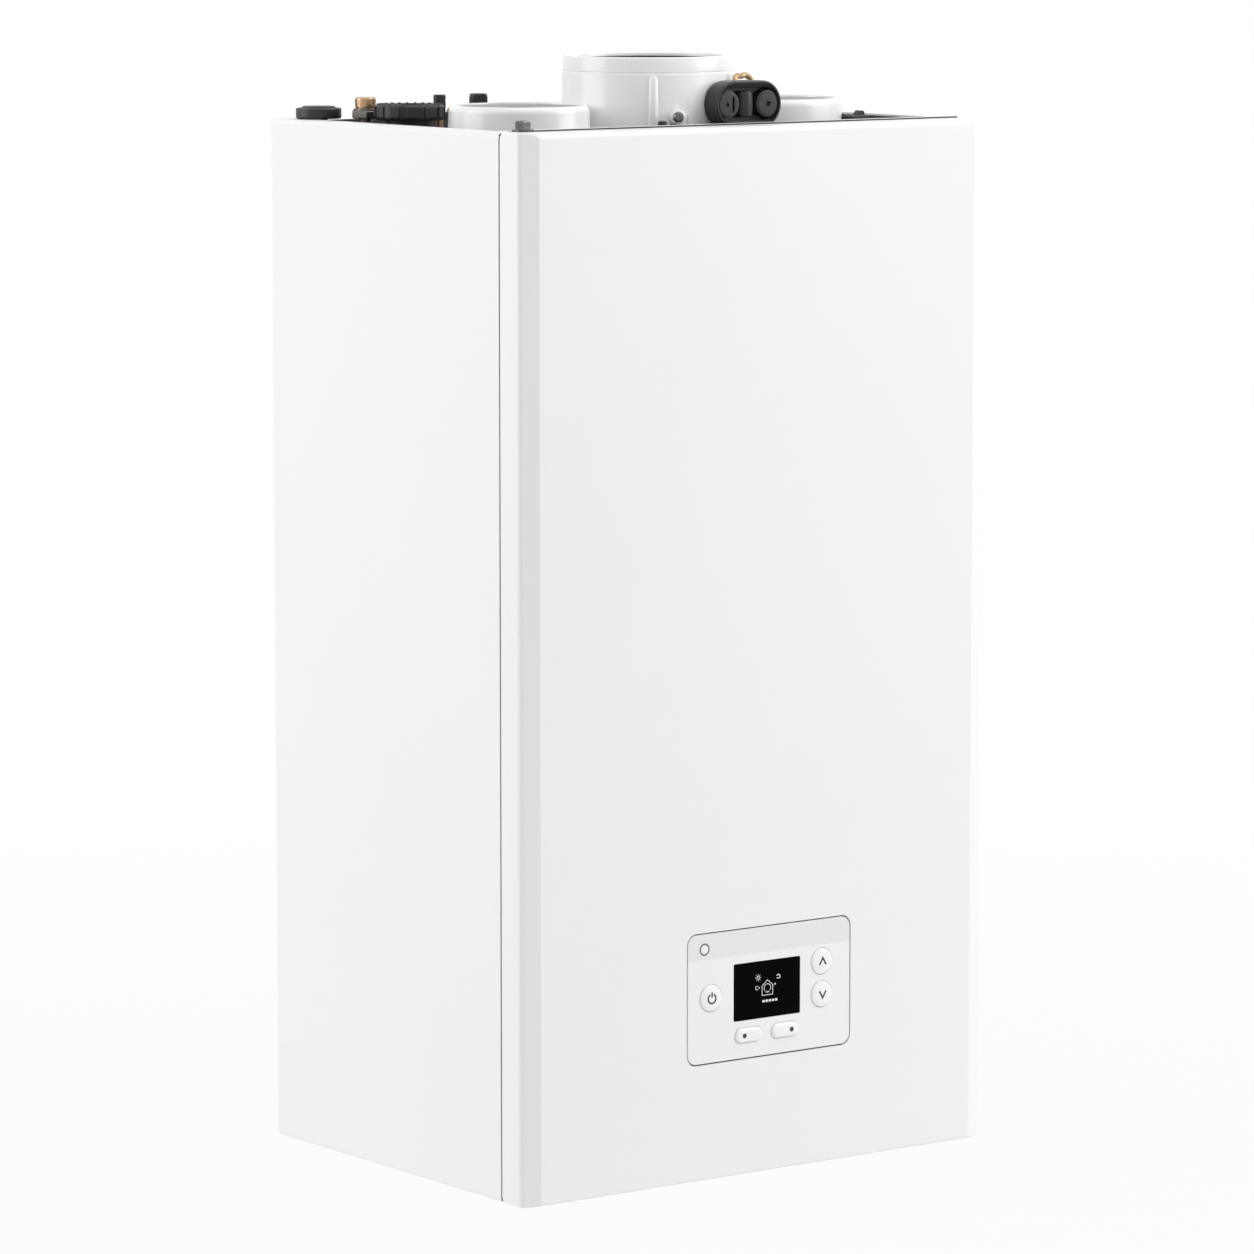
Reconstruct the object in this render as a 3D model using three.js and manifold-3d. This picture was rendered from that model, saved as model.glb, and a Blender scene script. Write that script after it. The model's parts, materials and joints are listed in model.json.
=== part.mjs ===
// Wall-hung condensing combi boiler: casing, flue collar, controls, combustion side and water side.
// Millimetres, +Z up. X runs to the right, Y runs back to the wall and the front faces -Y.
// The origin is the centre of the wall bracket's back face. Inside the casing group, z is measured
// from the casing's bottom edge, and the wall is the plane y = 0.
import * as THREE from 'three';
import { mergeVertices } from 'three/addons/utils/BufferGeometryUtils.js';
import Module from 'manifold-3d';

const wasm = await Module();
wasm.setup();

// ---- Casing ----
const casingWidth = 388;
const casingDepth = 294;
const casingHeight = 700;
const coverDepth = 26;
const seamGap = 0.7;
const sheet = 1.2;
const flange = 14;
const sideTopBend = 3;
const sideEdgeBend = 2;
const tightBend = 0.4;
const chamferWidth = 12;
const chamferDepth = 5.2;
const chamferBlend = 4;
const coverTopBend = 3.5;
const coverBottomBend = 1.5;
const sealWidth = 8;
const sealDepth = 4.7;
const coverScrewX = 150;
const coverScrewSetback = 14;
const coverScrewRadius = 2;
const coverScrewTop = 14;
const coverScrewHead = 4.5;
const coverScrewHeadDepth = 2.3;
const bottomRise = 12;
const bottomLip = 28;
const tabHalfWidth = 10;
const tabReach = 6;
const rearPanelInset = 2.8;
const rearPanelDrop = 1.5;

// ---- Clearances ----
const fit = 0.3;
const holeFit = 0.4;
const ductFit = 0.5;

// How far a cutter runs past the face that it opens, and a joined piece into its neighbour.
const past = 1;

// ---- Hanging ----
const bracketDrop = 60;
const bracketWidth = 300;
const bracketHeight = 50;
const bracketPlate = 2;
const hookX = 110;
const hookWidth = 24;
const hookRise = 16;
const hookRoom = 2;
const hookWindowDrop = 6;
const wallSpace = 12;
const screwSlotX = 60;
const screwSlotDrop = 10;
const screwSlotRadius = 4;
const shelfDrop = 377;
const shelfHalfWidth = 100;
const shelfFront = -212;
const shelfLip = 10;
const shelfDrainHole = 12;

// ---- Top ----
const railWidth = 24.35;
const railFront = 24;
const railBend = 1;
const railScrewInset = 22;
const railScrewSetback = 9;
const railScrewHead = 6;
const railScrewShank = 3;
const railScrewRise = 7;
const railScrewLength = 12;
const deckDrop = 12;
const deckRimDrop = 1.5;
const flueY = -167.3;
const collarBore = 51;
const collarWall = 7;
const collarRimStep = 1;
const collarRimHeight = 10.4;
const collarRimChamfer = 0.8;
const collarRise = 43.4;
const collarFootStep = 0.5;
const collarFoot = 4;
const tallRib = { degrees: -122.9, width: 5, rise: 2.4 };
const shortRib = { degrees: -98.9, width: 3, rise: 2, height: 17 };
const ribRoot = 5;
const bossDegrees = -107.3;
const bossRadius = 5.2;
const bossReach = 3.7;
const bossDepth = 14;
const bossRise = 4;
const collarScrewHead = 3.4;
const collarScrewHeadDepth = 2.6;
const collarScrewShank = 1.6;
const collarScrewLength = 8;
const flueSealDrop = 2;
const flueSealHeight = 14;
const flueSealWall = 1.5;
const flueSealLip = 3.5;
const flueRadius = 33;
const flueBore = 30;
const flueRise = 34;
const flueSeat = 4;
const plugRadius = 47.4;
const plugGap = 0.5;
const plugRise = 9.5;
const plugRing = 33;
const plugDish = 1.6;
const plugWall = 2.5;
const plugSpigotRadius = 40;
const plugSpigotDrop = 9;
const samplingX = 30;
const samplingWidth = 54;
const samplingHeight = 31;
const samplingDepth = 14.5;
const samplingRise = 12;
const samplingReach = 15.2;
const samplingRim = 1.6;
const samplingLip = 4;
const samplingWell = 9.5;
const samplingNeckStep = 6;
const samplingNeckDepth = 20;
const saddleWidth = 11;
const saddleHeight = 18;
const saddleSetback = 2.5;
const capSpacing = 32.4;
const capRadius = 8.6;
const capSetback = 1;
const capChamfer = 1;
const capStem = 4;
const capStemTaper = 0.4;
const capStemEnd = 22;
const capSlotWidth = 2;
const capSlotHeight = 11;
const capSlotDepth = 1.4;
const capDimpleRadius = 1.6;
const capDimpleDepth = 1.8;
const valveX = -150;
const valveY = -50;
const valveRadius = 6.8;
const valveStem = 4.8;
const valveChamfer = 0.8;
const valveRise = 17.3;
const valveHexRadius = 10;
const valveHexFoot = 1.5;
const valveHexRise = 9;
const ventX = -78;
const ventY = -80;
const ventLift = 10;
const ventStem = 4;
const ventStemHeight = 6;
const ventShoulder = 2;
const ventBody = 13;
const ventNeck = 4.5;
const ventNeckRise = 7;
const ventCapRadius = 6;
const ventCapRise = 16.5;
const ventSlotWidth = 1.2;
const ventSlotDepth = 1.5;
const bungX = -140;
const bungY = -88;
const bungRadius = 23.7;
const bungStem = 16;
const bungStemTaper = 2;
const bungFoot = 0.6;
const bungRise = 11;
const bungRim = 6;
const bungDish = 3;
const bungNotches = 8;
const bungNotchRadius = 2.6;
const bungNotchFoot = 2;
const bungPlugDrop = 8;
const cornerBungInset = 22;
const cornerBungY = -27;
const cornerBungRadius = 16;
const cornerBungStem = 6;
const cornerBungRise = 7.6;
const cornerBungRim = 3.5;
const cornerBungDish = 1.6;

// ---- Controls ----
const fasciaX = 7.6;
const fasciaWidth = 136.8;
const fasciaBottom = 79.1;
const fasciaTop = 166.4;
const fasciaCorner = 7;
const fasciaGap = 0.6;
const fasciaPlate = 1.9;
const displayWidth = 55.8;
const displayHeight = 38.4;
const displayX = 5.5;
const displayZ = 124;
const displayCorner = 1;
const displaySetback = 0.1;
const moduleWidth = 56;
const moduleHeight = 39;
const moduleMargin = 1;
const moduleGap = 0.8;
const boxWidth = 240;
const boxBottom = 48;
const boxTop = 186;
const boxDepth = 53.5;
const boxWall = 2.5;
const boxSetback = 2.2;
const boxBackPlate = 2;
const postRadius = 3;
const postInset = 6;
const pinSetback = 36;
const pinZ = 36;
const pinRadius = 2.5;
const pinReach = 4;
const lugRadius = 5;
const lugWidth = 6;
const earGap = 0.5;
const earPlate = 2;
const earRadius = 6;
const boardSetback = 10.2;
const boardPlate = 1.6;
const boardWidth = 210;
const boardBottom = 60;
const boardTop = 176;
const transformer = { inset: 8, width: 36, height: 34, depth: 28, z: 87 };
const relays = { count: 3, inset: 60, pitch: 24, width: 18, height: 16, depth: 15, z: 74 };
const terminals = { inset: 20, height: 11, depth: 11, z: 165.5 };
const capacitor = { inset: 26, radius: 8, depth: 24, z: 110 };
const buttonTravel = 0.8;
const buttonRise = 1.5;
const buttonCrown = 0.9;
const buttonCollar = 1.3;
const buttonCollarDepth = 1;
const buttonStem = 3;
const roundButtons = [
  { name: 'power_button', x: -41.8, z: 123, radius: 9.15 },
  { name: 'up_button', x: 51.8, z: 137.8, radius: 9 },
  { name: 'down_button', x: 51.8, z: 115.4, radius: 9 },
];
const softKeyWidth = 22.8;
const softKeyHeight = 10.2;
const softKeyStep = 2;
const softKeys = [
  { name: 'left_soft_key', x: -10.2, z: 94.5 },
  { name: 'right_soft_key', x: 20.3, z: 94.5 },
];
const glandX = -100;
const glandY = -190;
const glandNeck = 6;
const glandBore = 3.5;
const glandHead = 10;
const glandNut = 9;
const glandNutHeight = 5;
const glandFoot = 4;

// ---- Combustion side ----
const exchangerDrop = 240;
const exchangerRadius = 108;
const exchangerWall = 4;
const exchangerFront = -213.7;
const exchangerBack = -98;
const exchangerRoot = 18;
const outletRadius = 38;
const outletRise = 28;
const drainRadius = 10;
const drainWall = 3;
const drainReach = 23;
const flowPortRise = 40;
const returnPortDrop = 40;
const portY = -140;
const portRadius = 11;
const portReach = 12;
const footX = 50;
const footWidth = 22;
const footInset = 8;
const coilGap = 3;
const coilTubeWidth = 18;
const coilTubeHeight = 9;
const coilPitch = 13.2;
const coilTurns = 7;
const coilSteps = 14;
const doorPlate = 8;
const throatRadius = 22;
const ductDepth = 28;
const ductWall = 3;
const ductHalfWidth = 32;
const ductShoulder = 16;
const ductNeckDrop = 12;
const burnerRadius = 35;
const burnerLength = 84;
const burnerFlange = 7;
const burnerWall = 2;
const electrodeDrop = 52;
const electrodeRadius = 4;
const electrodeFront = 20;
const electrodeBack = 8;
const electrodeTip = 1;
const electrodeReach = 30;
const fanX = -75;
const fanDrop = 62;
const fanRadius = 44;
const fanOutletWidth = 26;
const fanOutletDrop = 53;
const fanShaft = 3.5;
const fanShaftDepth = 10;
const fanShaftHole = 5;
const fanMotorRadius = 30;
const fanMotorDepth = 26;
const venturiRadius = 26;
const venturiDepth = 13;
const venturiWall = 6;
const gasInletRadius = 7;
const gasInletReach = 6;
const impellerRadius = 34;
const impellerHub = 8;
const impellerPlate = 2;
const impellerDepth = 12;
const impellerBlades = 9;
const impellerBladePlate = 1.6;
const gasGap = 14;
const gasValveWidth = 56;
const gasValveDepth = 60;
const gasValveHeight = 75;
const gasValveRise = 10;
const gasBranchRadius = 6;
const gasCoilRadius = 15;
const gasCoilHeight = 26;
const gasCoilY = 34;
const gasInletY = 26;
const gasInletNut = 10;
const gasInletDrop = 12;
const gasPipeRadius = 7.5;
const gasPipeWall = 1.5;
const gasPipeBend = 18;
const gasPipeStep = 36;
const gasPipeSetback = 53;
const gasPipeLow = 32;
const gasPipeCrossing = 262;
const gasNipple = 13;
const gasNippleTop = 6;

// ---- Water side ----
const waterY = -75;
const blockBottom = 40;
const blockTop = 80;
const blockDepth = 50;
const stubEnd = -15;
const stubWall = 3.5;
const stubBoreTop = 32;
const bigStub = 13;
const smallStub = 10.5;
const flowX = -130;
const hotWaterX = -65;
const coldWaterX = 65;
const returnX = 130;
const flowBlockMargin = 20;
const flowBlockRight = -45;
const returnBlockLeft = 45;
const blockPortRise = 12;
const diverterX = -110;
const diverterNeck = 15;
const diverterReach = 22;
const diverterHead = { width: 44, height: 60, depth: 36, neck: 17, gap: 6 };
const reliefX = -65;
const reliefY = -118;
const reliefRadius = 8;
const reliefWall = 3;
const reliefNeck = 12;
const reliefFront = -130;
const reliefKnobRadius = 13;
const reliefKnobDepth = 22;
const reliefKnobChamfer = 2;
const reliefGrips = 6;
const reliefGripRadius = 3;
const reliefGripRing = 14;
const reliefGripStop = 5;
const fillX = 98;
const fillStem = 6;
const fillStemEnd = 4;
const fillTapRadius = 13;
const fillTapHeight = 14;
const fillTapWing = { width: 6, length: 24, drop: 4 };
const pumpX = 120;
const pumpZ = 110;
const pumpRadius = 42;
const pumpWall = 6;
const pumpFloor = 8;
const pumpDepth = 45;
const pumpGap = 3;
const pumpNeckRadius = 16;
const pumpNeckDrop = 48;
const pumpOutletX = 148;
const pumpOutletY = -125;
const pumpOutletRise = 56;
const pumpShaft = 4;
const pumpShaftReach = 8;
const pumpImpellerRadius = 31;
const pumpImpellerSetback = 12;
const pumpImpellerHub = 8;
const pumpBlades = 6;
const pumpBlade = { length: 26, depth: 8, thickness: 2.4, centre: 17 };
const pumpMotorRadius = 40;
const pumpMotorFlange = 46;
const pumpMotorFlangeDepth = 8;
const pumpMotorRoom = 3.7;
const plateExchangerHalfWidth = 93;
const plateExchangerTop = 150;
const plateExchangerInset = 6;
const plateRidges = { count: 6, first: 10, pitch: 6, width: 1.8, rise: 2 };
const pipeRadius = 9;
const pipeWall = 1.5;
const pipeBend = { flow: 18, return: 16 };
const pipeStep = { flow: 36, return: 32 };
const flowPipeGap = 30;
const flowPipeTurn = { upper: 190, lower: 150 };
const returnPipeTurn = { lower: 300, upper: 345 };
const vesselHalfWidth = 172;
const vesselHeight = 300;
const vesselDepth = 79.5;
const vesselCorner = 22;
const vesselCrimp = 5;
const vesselCrimpDepth = 6;
const vesselHose = 5;
const vesselHoseX = 140;
const trapRadius = 24;
const trapNeckRadius = 12;
const trapNeck = 20;
const trapInlet = 8;
const trapDrop = 123;
const trapBoreTop = 10;
const trapWall = 2.5;

// ---- Roundness: sides of a round piece, by its size ----
const facets = { tiny: 8, thin: 12, small: 16, middle: 20, broad: 24, large: 28, collar: 32 };

// ---- Worked out ----
const bothSides = [-1, 1];
const halfWidth = casingWidth / 2;
const frontY = -casingDepth;
const seamY = frontY + coverDepth;
const coverRearY = seamY - seamGap / 2;
const sideFrontY = seamY + seamGap / 2;
const insideX = halfWidth - sheet;
const railX = halfWidth - flange - fit;
const railRearY = sideFrontY + railWidth;
const railScrewCentre = [railScrewInset - halfWidth, sideFrontY + railScrewSetback];
const coverScrewY = frontY + coverScrewSetback;
const bracketZ = casingHeight - bracketDrop;
const panelFrontY = -wallSpace - sheet;
const bottomTop = bottomRise + sheet;
const deckTop = casingHeight - deckDrop;
const topFoot = deckTop + fit;
const shelfZ = casingHeight - shelfDrop;
const collarRadius = collarBore + collarWall;
const collarRimRadius = collarRadius - collarRimStep;
const collarFootRadius = collarRadius + collarFootStep;
const collarTop = casingHeight + collarRise;
const collarGroove = collarTop - collarRimHeight;
const bossX = collarRadius * Math.cos(THREE.MathUtils.degToRad(bossDegrees));
const bossY = flueY - collarRadius - bossReach;
const bossZ = casingHeight + bossRise;
const plugSpacing = collarFootRadius + plugGap + plugRadius;
const samplingZ = casingHeight + samplingRise;
const samplingFront = flueY - collarRadius - samplingReach;
const samplingBack = samplingFront + samplingDepth;
const samplingWellY = samplingFront + samplingWell;
const cornerBungX = cornerBungInset - halfWidth;
const fasciaBackY = frontY + fasciaPlate;
const boxLeft = fasciaX - boxWidth / 2;
const boxRight = fasciaX + boxWidth / 2;
const boxFrontY = frontY + boxSetback;
const boxBackY = boxFrontY + boxDepth;
const pinY = frontY + pinSetback;
const boardLeft = fasciaX - boardWidth / 2;
const boardRight = fasciaX + boardWidth / 2;
const boardFrontY = boxFrontY + boardSetback;
const exchangerZ = casingHeight - exchangerDrop;
const coilRadius = exchangerRadius - exchangerWall - coilGap - coilTubeWidth / 2;
const doorFrontY = exchangerFront - fit - doorPlate;
const portEnd = exchangerRadius + portReach + fit;
const flowPortZ = exchangerZ + flowPortRise;
const returnPortZ = exchangerZ - returnPortDrop;
const fanZ = casingHeight - fanDrop;
const fanFrontY = doorFrontY - ductDepth;
const fanRightX = fanX + fanRadius;
const fanMouthZ = fanZ - fanOutletDrop;
const fanInletX = fanX - venturiRadius - gasInletReach;
const feedY = fanFrontY - venturiDepth / 2;
const gasX = -exchangerRadius - gasGap - gasValveWidth / 2;
const gasValveZ = exchangerZ + gasValveRise;
const blockBack = waterY + blockDepth / 2;
const blockFront = waterY - blockDepth / 2;
const blockZ = (blockBottom + blockTop) / 2;
const pumpBack = blockFront - pumpGap;
const pumpFace = pumpBack - pumpDepth;
const pumpMotorFront = boxBackY + fit + boxBackPlate + pumpMotorRoom;
const vesselTop = bracketZ - hookRise / 2;
const vesselBottom = vesselTop - vesselHeight;
const vesselBackY = panelFrontY - fit;

// ---- Solids ----

// A closed geometry as a solid: shared points are merged and its faces are turned outward.
function solid(geometry) {
  const bare = new THREE.BufferGeometry();
  bare.setAttribute('position', geometry.getAttribute('position'));
  bare.setIndex(geometry.getIndex());
  const merged = mergeVertices(bare, 1e-4);
  const points = merged.getAttribute('position').array;
  const corners = merged.getIndex().array;
  const triangles = [];
  const p = new THREE.Vector3();
  const q = new THREE.Vector3();
  const r = new THREE.Vector3();
  let volume = 0;
  for (let i = 0; i < corners.length; i += 3) {
    const [a, b, c] = corners.slice(i, i + 3);
    if (a === b || b === c || c === a) continue;
    triangles.push([a, b, c]);
    p.fromArray(points, a * 3);
    q.fromArray(points, b * 3);
    r.fromArray(points, c * 3);
    volume += p.dot(q.cross(r));
  }
  const outward = volume > 0 ? triangles : triangles.map(([a, b, c]) => [a, c, b]);
  return new wasm.Manifold(new wasm.Mesh({
    numProp: 3,
    vertProperties: new Float32Array(points),
    triVerts: new Uint32Array(outward.flat()),
  }));
}

function join(first, ...others) {
  return others.reduce((whole, piece) => whole.add(piece), first);
}

function cut(first, ...others) {
  return others.reduce((whole, piece) => whole.subtract(piece), first);
}

function around(count, make) {
  return Array.from({ length: count }, (_, i) => make((i / count) * Math.PI * 2));
}

// The two ends of a span about its middle, and a span made longer at both ends.
function span(middle, width) {
  return [middle - width / 2, middle + width / 2];
}

function longer([from, to], reach = past) {
  return [from - reach, to + reach];
}

// A block between two x, two y and two z values, in either order.
function block(xs, ys, zs) {
  const spans = [xs, ys, zs].map(([a, b]) => Math.abs(b - a));
  const middles = [xs, ys, zs].map(([a, b]) => (a + b) / 2);
  return solid(new THREE.BoxGeometry(...spans).translate(...middles));
}

// A rod between two values along one axis. The centre gives its place on the other two, in x, y, z order.
function rod(axis, radius, [from, to], [u, v], sides = facets.small) {
  const length = Math.abs(to - from);
  const middle = (from + to) / 2;
  const geometry = new THREE.CylinderGeometry(radius, radius, length, sides);
  if (axis === 'x') geometry.rotateZ(-Math.PI / 2).translate(middle, u, v);
  if (axis === 'y') geometry.translate(u, middle, v);
  if (axis === 'z') geometry.rotateX(Math.PI / 2).translate(u, v, middle);
  return solid(geometry);
}

// A rod that cuts a running hole: its flats, not its corners, stand off the shaft by the clearance.
function drill(axis, shaft, clearance, ends, centre, sides = facets.middle) {
  return rod(axis, (shaft + clearance) / Math.cos(Math.PI / sides), ends, centre, sides);
}

// A turned solid about an upright axis, from [radius, z] points. A hollow profile ends where it starts.
function turnedUpright(profile, [x, y], sides = facets.middle) {
  const points = profile.map(([radius, z]) => new THREE.Vector2(radius, z));
  return solid(new THREE.LatheGeometry(points, sides).rotateX(Math.PI / 2).translate(x, y, 0));
}

// A turned solid about an axis along Y, from [radius, y] points.
function turnedAlongY(profile, [x, z], sides = facets.middle) {
  const points = profile.map(([radius, y]) => new THREE.Vector2(radius, y));
  return solid(new THREE.LatheGeometry(points, sides).translate(x, 0, z));
}

// Extrusions of a flat outline: its two coordinates are y, z or x, z or x, y.
function extruded(shape, length) {
  return new THREE.ExtrudeGeometry(shape, { depth: length, bevelEnabled: false, curveSegments: 2 });
}

function extrudedX(shape, [from, to]) {
  const turn = new THREE.Matrix4().set(0, 0, 1, from, 1, 0, 0, 0, 0, 1, 0, 0, 0, 0, 0, 1);
  return solid(extruded(shape, to - from).applyMatrix4(turn));
}

function extrudedY(shape, [from, to]) {
  return solid(extruded(shape, to - from).rotateX(Math.PI / 2).translate(0, to, 0));
}

function extrudedZ(shape, [from, to]) {
  return solid(extruded(shape, to - from).translate(0, 0, from));
}

// A closed outline through [u, v, setback] corners, each rounded from its setback on both sides.
function outline(corners) {
  const shape = new THREE.Shape();
  corners.forEach(([u, v, setback = 0], i) => {
    const corner = new THREE.Vector2(u, v);
    const before = new THREE.Vector2(...corners.at(i - 1).slice(0, 2)).sub(corner).setLength(setback);
    const after = new THREE.Vector2(...corners.at((i + 1) % corners.length).slice(0, 2));
    after.sub(corner).setLength(setback);
    const enter = corner.clone().add(before);
    const leave = corner.clone().add(after);
    if (i === 0) shape.moveTo(enter.x, enter.y);
    else shape.lineTo(enter.x, enter.y);
    if (setback > 0) shape.quadraticCurveTo(u, v, leave.x, leave.y);
  });
  shape.closePath();
  return shape;
}

function roundedRectangle([u0, u1], [v0, v1], radius) {
  const shape = new THREE.Shape();
  shape.absarc(u1 - radius, v1 - radius, radius, 0, Math.PI / 2);
  shape.absarc(u0 + radius, v1 - radius, radius, Math.PI / 2, Math.PI);
  shape.absarc(u0 + radius, v0 + radius, radius, Math.PI, Math.PI * 1.5);
  shape.absarc(u1 - radius, v0 + radius, radius, Math.PI * 1.5, Math.PI * 2);
  shape.closePath();
  return shape;
}

// A slot-shaped outline: a rectangle whose ends are half circles.
function stadium(centreU, centreV, width, height) {
  return roundedRectangle(span(centreU, width), span(centreV, height), height / 2);
}

// A pipe through the given points, with a round bend at each corner.
function pipe(points, radius, bore, bend, spacing) {
  const corners = points.map((point) => new THREE.Vector3(...point));
  const path = new THREE.CurvePath();
  let from = corners[0];
  for (let i = 1; i < corners.length - 1; i++) {
    const back = corners[i - 1].clone().sub(corners[i]).setLength(bend);
    const ahead = corners[i + 1].clone().sub(corners[i]).setLength(bend);
    const enter = corners[i].clone().add(back);
    const leave = corners[i].clone().add(ahead);
    path.add(new THREE.LineCurve3(from, enter));
    path.add(new THREE.QuadraticBezierCurve3(enter, corners[i], leave));
    from = leave;
  }
  path.add(new THREE.LineCurve3(from, corners.at(-1)));
  const section = new THREE.Shape();
  section.absarc(0, 0, radius, 0, Math.PI * 2);
  const hole = new THREE.Path();
  hole.absarc(0, 0, bore, 0, Math.PI * 2);
  section.holes.push(hole);
  const steps = Math.round(path.getLength() / spacing);
  return solid(new THREE.ExtrudeGeometry(section, { extrudePath: path, steps, curveSegments: 4 }));
}

// ---- Parts ----
const boiler = new THREE.Group();
const shell = new THREE.Group();
shell.position.z = -bracketZ;
boiler.add(shell);

const finishes = {
  whiteSteel: ['#f1f2f3', 0.38, 0],
  whitePlastic: ['#f3f4f5', 0.3, 0],
  blackPlastic: ['#26282a', 0.5, 0],
  greyPlastic: ['#55595d', 0.55, 0],
  rubber: ['#1c1d1e', 0.8, 0],
  zincSteel: ['#9aa0a4', 0.4, 0.9],
  darkSteel: ['#4b4f52', 0.5, 0.7],
  stainless: ['#b9bdc0', 0.3, 1],
  aluminium: ['#b4b7b9', 0.45, 0.9],
  brass: ['#b88a4a', 0.35, 1],
  copper: ['#b8714a', 0.35, 1],
  glass: ['#060607', 0.08, 0],
  board: ['#2f6b45', 0.6, 0],
  redPaint: ['#b3272a', 0.45, 0],
  ceramic: ['#e6e1d6', 0.5, 0],
};

function part(name, finish, body) {
  const mesh = body.getMesh();
  const geometry = new THREE.BufferGeometry();
  geometry.setAttribute('position', new THREE.BufferAttribute(mesh.vertProperties, 3));
  geometry.setIndex(new THREE.BufferAttribute(mesh.triVerts, 1));
  geometry.computeVertexNormals();
  const [color, roughness, metalness] = finishes[finish];
  const piece = new THREE.Mesh(geometry, new THREE.MeshStandardMaterial({ color, roughness, metalness }));
  piece.name = name;
  shell.add(piece);
}

// ---- Hanging and frame ----

function wallBracket() {
  const plate = block(span(0, bracketWidth), [-bracketPlate, 0], span(bracketZ, bracketHeight));
  const lipY = panelFrontY - bracketPlate - fit;
  const hooks = [-hookX, hookX].map((x) => {
    const xs = span(x, hookWidth);
    const arm = block(xs, [lipY - bracketPlate, -bracketPlate / 2], [bracketZ, bracketZ + bracketPlate]);
    return arm.add(block(xs, [lipY - bracketPlate, lipY], [bracketZ, bracketZ + hookRise]));
  });
  const slots = bothSides.map((side) =>
    rod('y', screwSlotRadius, longer([-bracketPlate, 0]), [side * screwSlotX, bracketZ - screwSlotDrop]));
  return cut(join(plate, ...hooks), ...slots);
}

function rearPanel() {
  const half = insideX - rearPanelInset;
  const section = outline([
    [-half, panelFrontY], [half, panelFrontY], [half, -sheet - fit], [half - sheet, -sheet - fit],
    [half - sheet, -wallSpace], [sheet - half, -wallSpace], [sheet - half, -sheet - fit],
    [-half, -sheet - fit],
  ]);
  const panel = extrudedZ(section, [bottomTop + fit, casingHeight - rearPanelDrop]);
  const windows = [-hookX, hookX].map((x) =>
    block(longer(span(x, hookWidth), hookRoom), longer([panelFrontY, -wallSpace]),
      [bracketZ - hookWindowDrop, bracketZ + bracketPlate + fit]));
  const shelfBack = -wallSpace - sheet / 2;
  const shelf = extrudedX(outline([
    [shelfFront, shelfZ - shelfLip], [shelfFront + sheet, shelfZ - shelfLip],
    [shelfFront + sheet, shelfZ - sheet], [shelfBack, shelfZ - sheet], [shelfBack, shelfZ], [shelfFront, shelfZ],
  ]), [-shelfHalfWidth, shelfHalfWidth]);
  const drainHole = rod('z', shelfDrainHole, longer([shelfZ - sheet, shelfZ]), [0, flueY], facets.middle);
  return cut(join(panel, shelf), ...windows, drainHole);
}

// A side panel's outer or inner skin: side is -1 on the left and 1 on the right.
function sideSkin(side, inset, reach) {
  const outer = side * (halfWidth - inset);
  const inner = side * (halfWidth - reach);
  const top = Math.max(sideTopBend - inset, tightBend);
  const edge = Math.max(sideEdgeBend - inset, tightBend);
  const across = outline([
    [inner, inset], [outer, inset, edge], [outer, casingHeight - inset, top], [inner, casingHeight - inset],
  ]);
  const along = outline([
    [inner, sideFrontY + inset], [outer, sideFrontY + inset, tightBend], [outer, -inset, edge], [inner, -inset],
  ]);
  const box = extrudedY(across, longer([sideFrontY, 0]));
  return box.intersect(extrudedZ(along, longer([0, casingHeight])));
}

function sidePanel(side) {
  return sideSkin(side, 0, flange).subtract(sideSkin(side, sheet, flange + past));
}

// The cover's plan outline moved inward by the inset, with its broad chamfers at both front corners.
function coverPlan(inset, rear) {
  const slope = Math.atan(chamferDepth / chamferWidth);
  const x = halfWidth - inset;
  const front = frontY + inset;
  const flatX = halfWidth - chamferWidth - inset * Math.tan(slope / 2);
  const breakY = frontY + chamferDepth + inset * Math.tan((Math.PI / 2 - slope) / 2);
  return outline([
    [-x, rear], [-x, breakY, chamferBlend], [-flatX, front],
    [flatX, front], [x, breakY, chamferBlend], [x, rear],
  ]);
}

function coverSkin(inset, rear) {
  const side = outline([
    [frontY + inset, inset, Math.max(coverBottomBend - inset, tightBend)],
    [frontY + inset, casingHeight - inset, Math.max(coverTopBend - inset, tightBend)],
    [rear, casingHeight - inset], [rear, inset],
  ]);
  const upright = extrudedZ(coverPlan(inset, rear), longer([0, casingHeight]));
  return upright.intersect(extrudedX(side, longer([-halfWidth, halfWidth])));
}

function frontCover() {
  const xs = longer(span(fasciaX, fasciaWidth), fasciaGap);
  const levels = longer([fasciaBottom, fasciaTop], fasciaGap);
  const window = extrudedY(
    roundedRectangle(xs, levels, fasciaCorner + fasciaGap), longer([frontY, frontY + sheet]));
  const screwHoles = bothSides.map((side) =>
    drill('z', coverScrewRadius, holeFit, longer([0, sheet]), [side * coverScrewX, coverScrewY], facets.thin));
  return cut(coverSkin(0, coverRearY), coverSkin(sheet, coverRearY + past), window, ...screwHoles);
}

function coverSeal() {
  const x = insideX - fit;
  const levels = [sheet + fit, casingHeight - sheet - fit];
  const depth = [sideFrontY - fit - sealDepth, sideFrontY - fit];
  const inner = block(longer([-x, x], -sealWidth), longer(depth), longer(levels, -sealWidth));
  return block([-x, x], depth, levels).subtract(inner);
}

function coverScrew(side) {
  const centre = [side * coverScrewX, coverScrewY];
  const head = rod('z', coverScrewHead, [-fit - coverScrewHeadDepth, -fit], centre);
  return head.add(rod('z', coverScrewRadius, [-past, coverScrewTop], centre));
}

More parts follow.
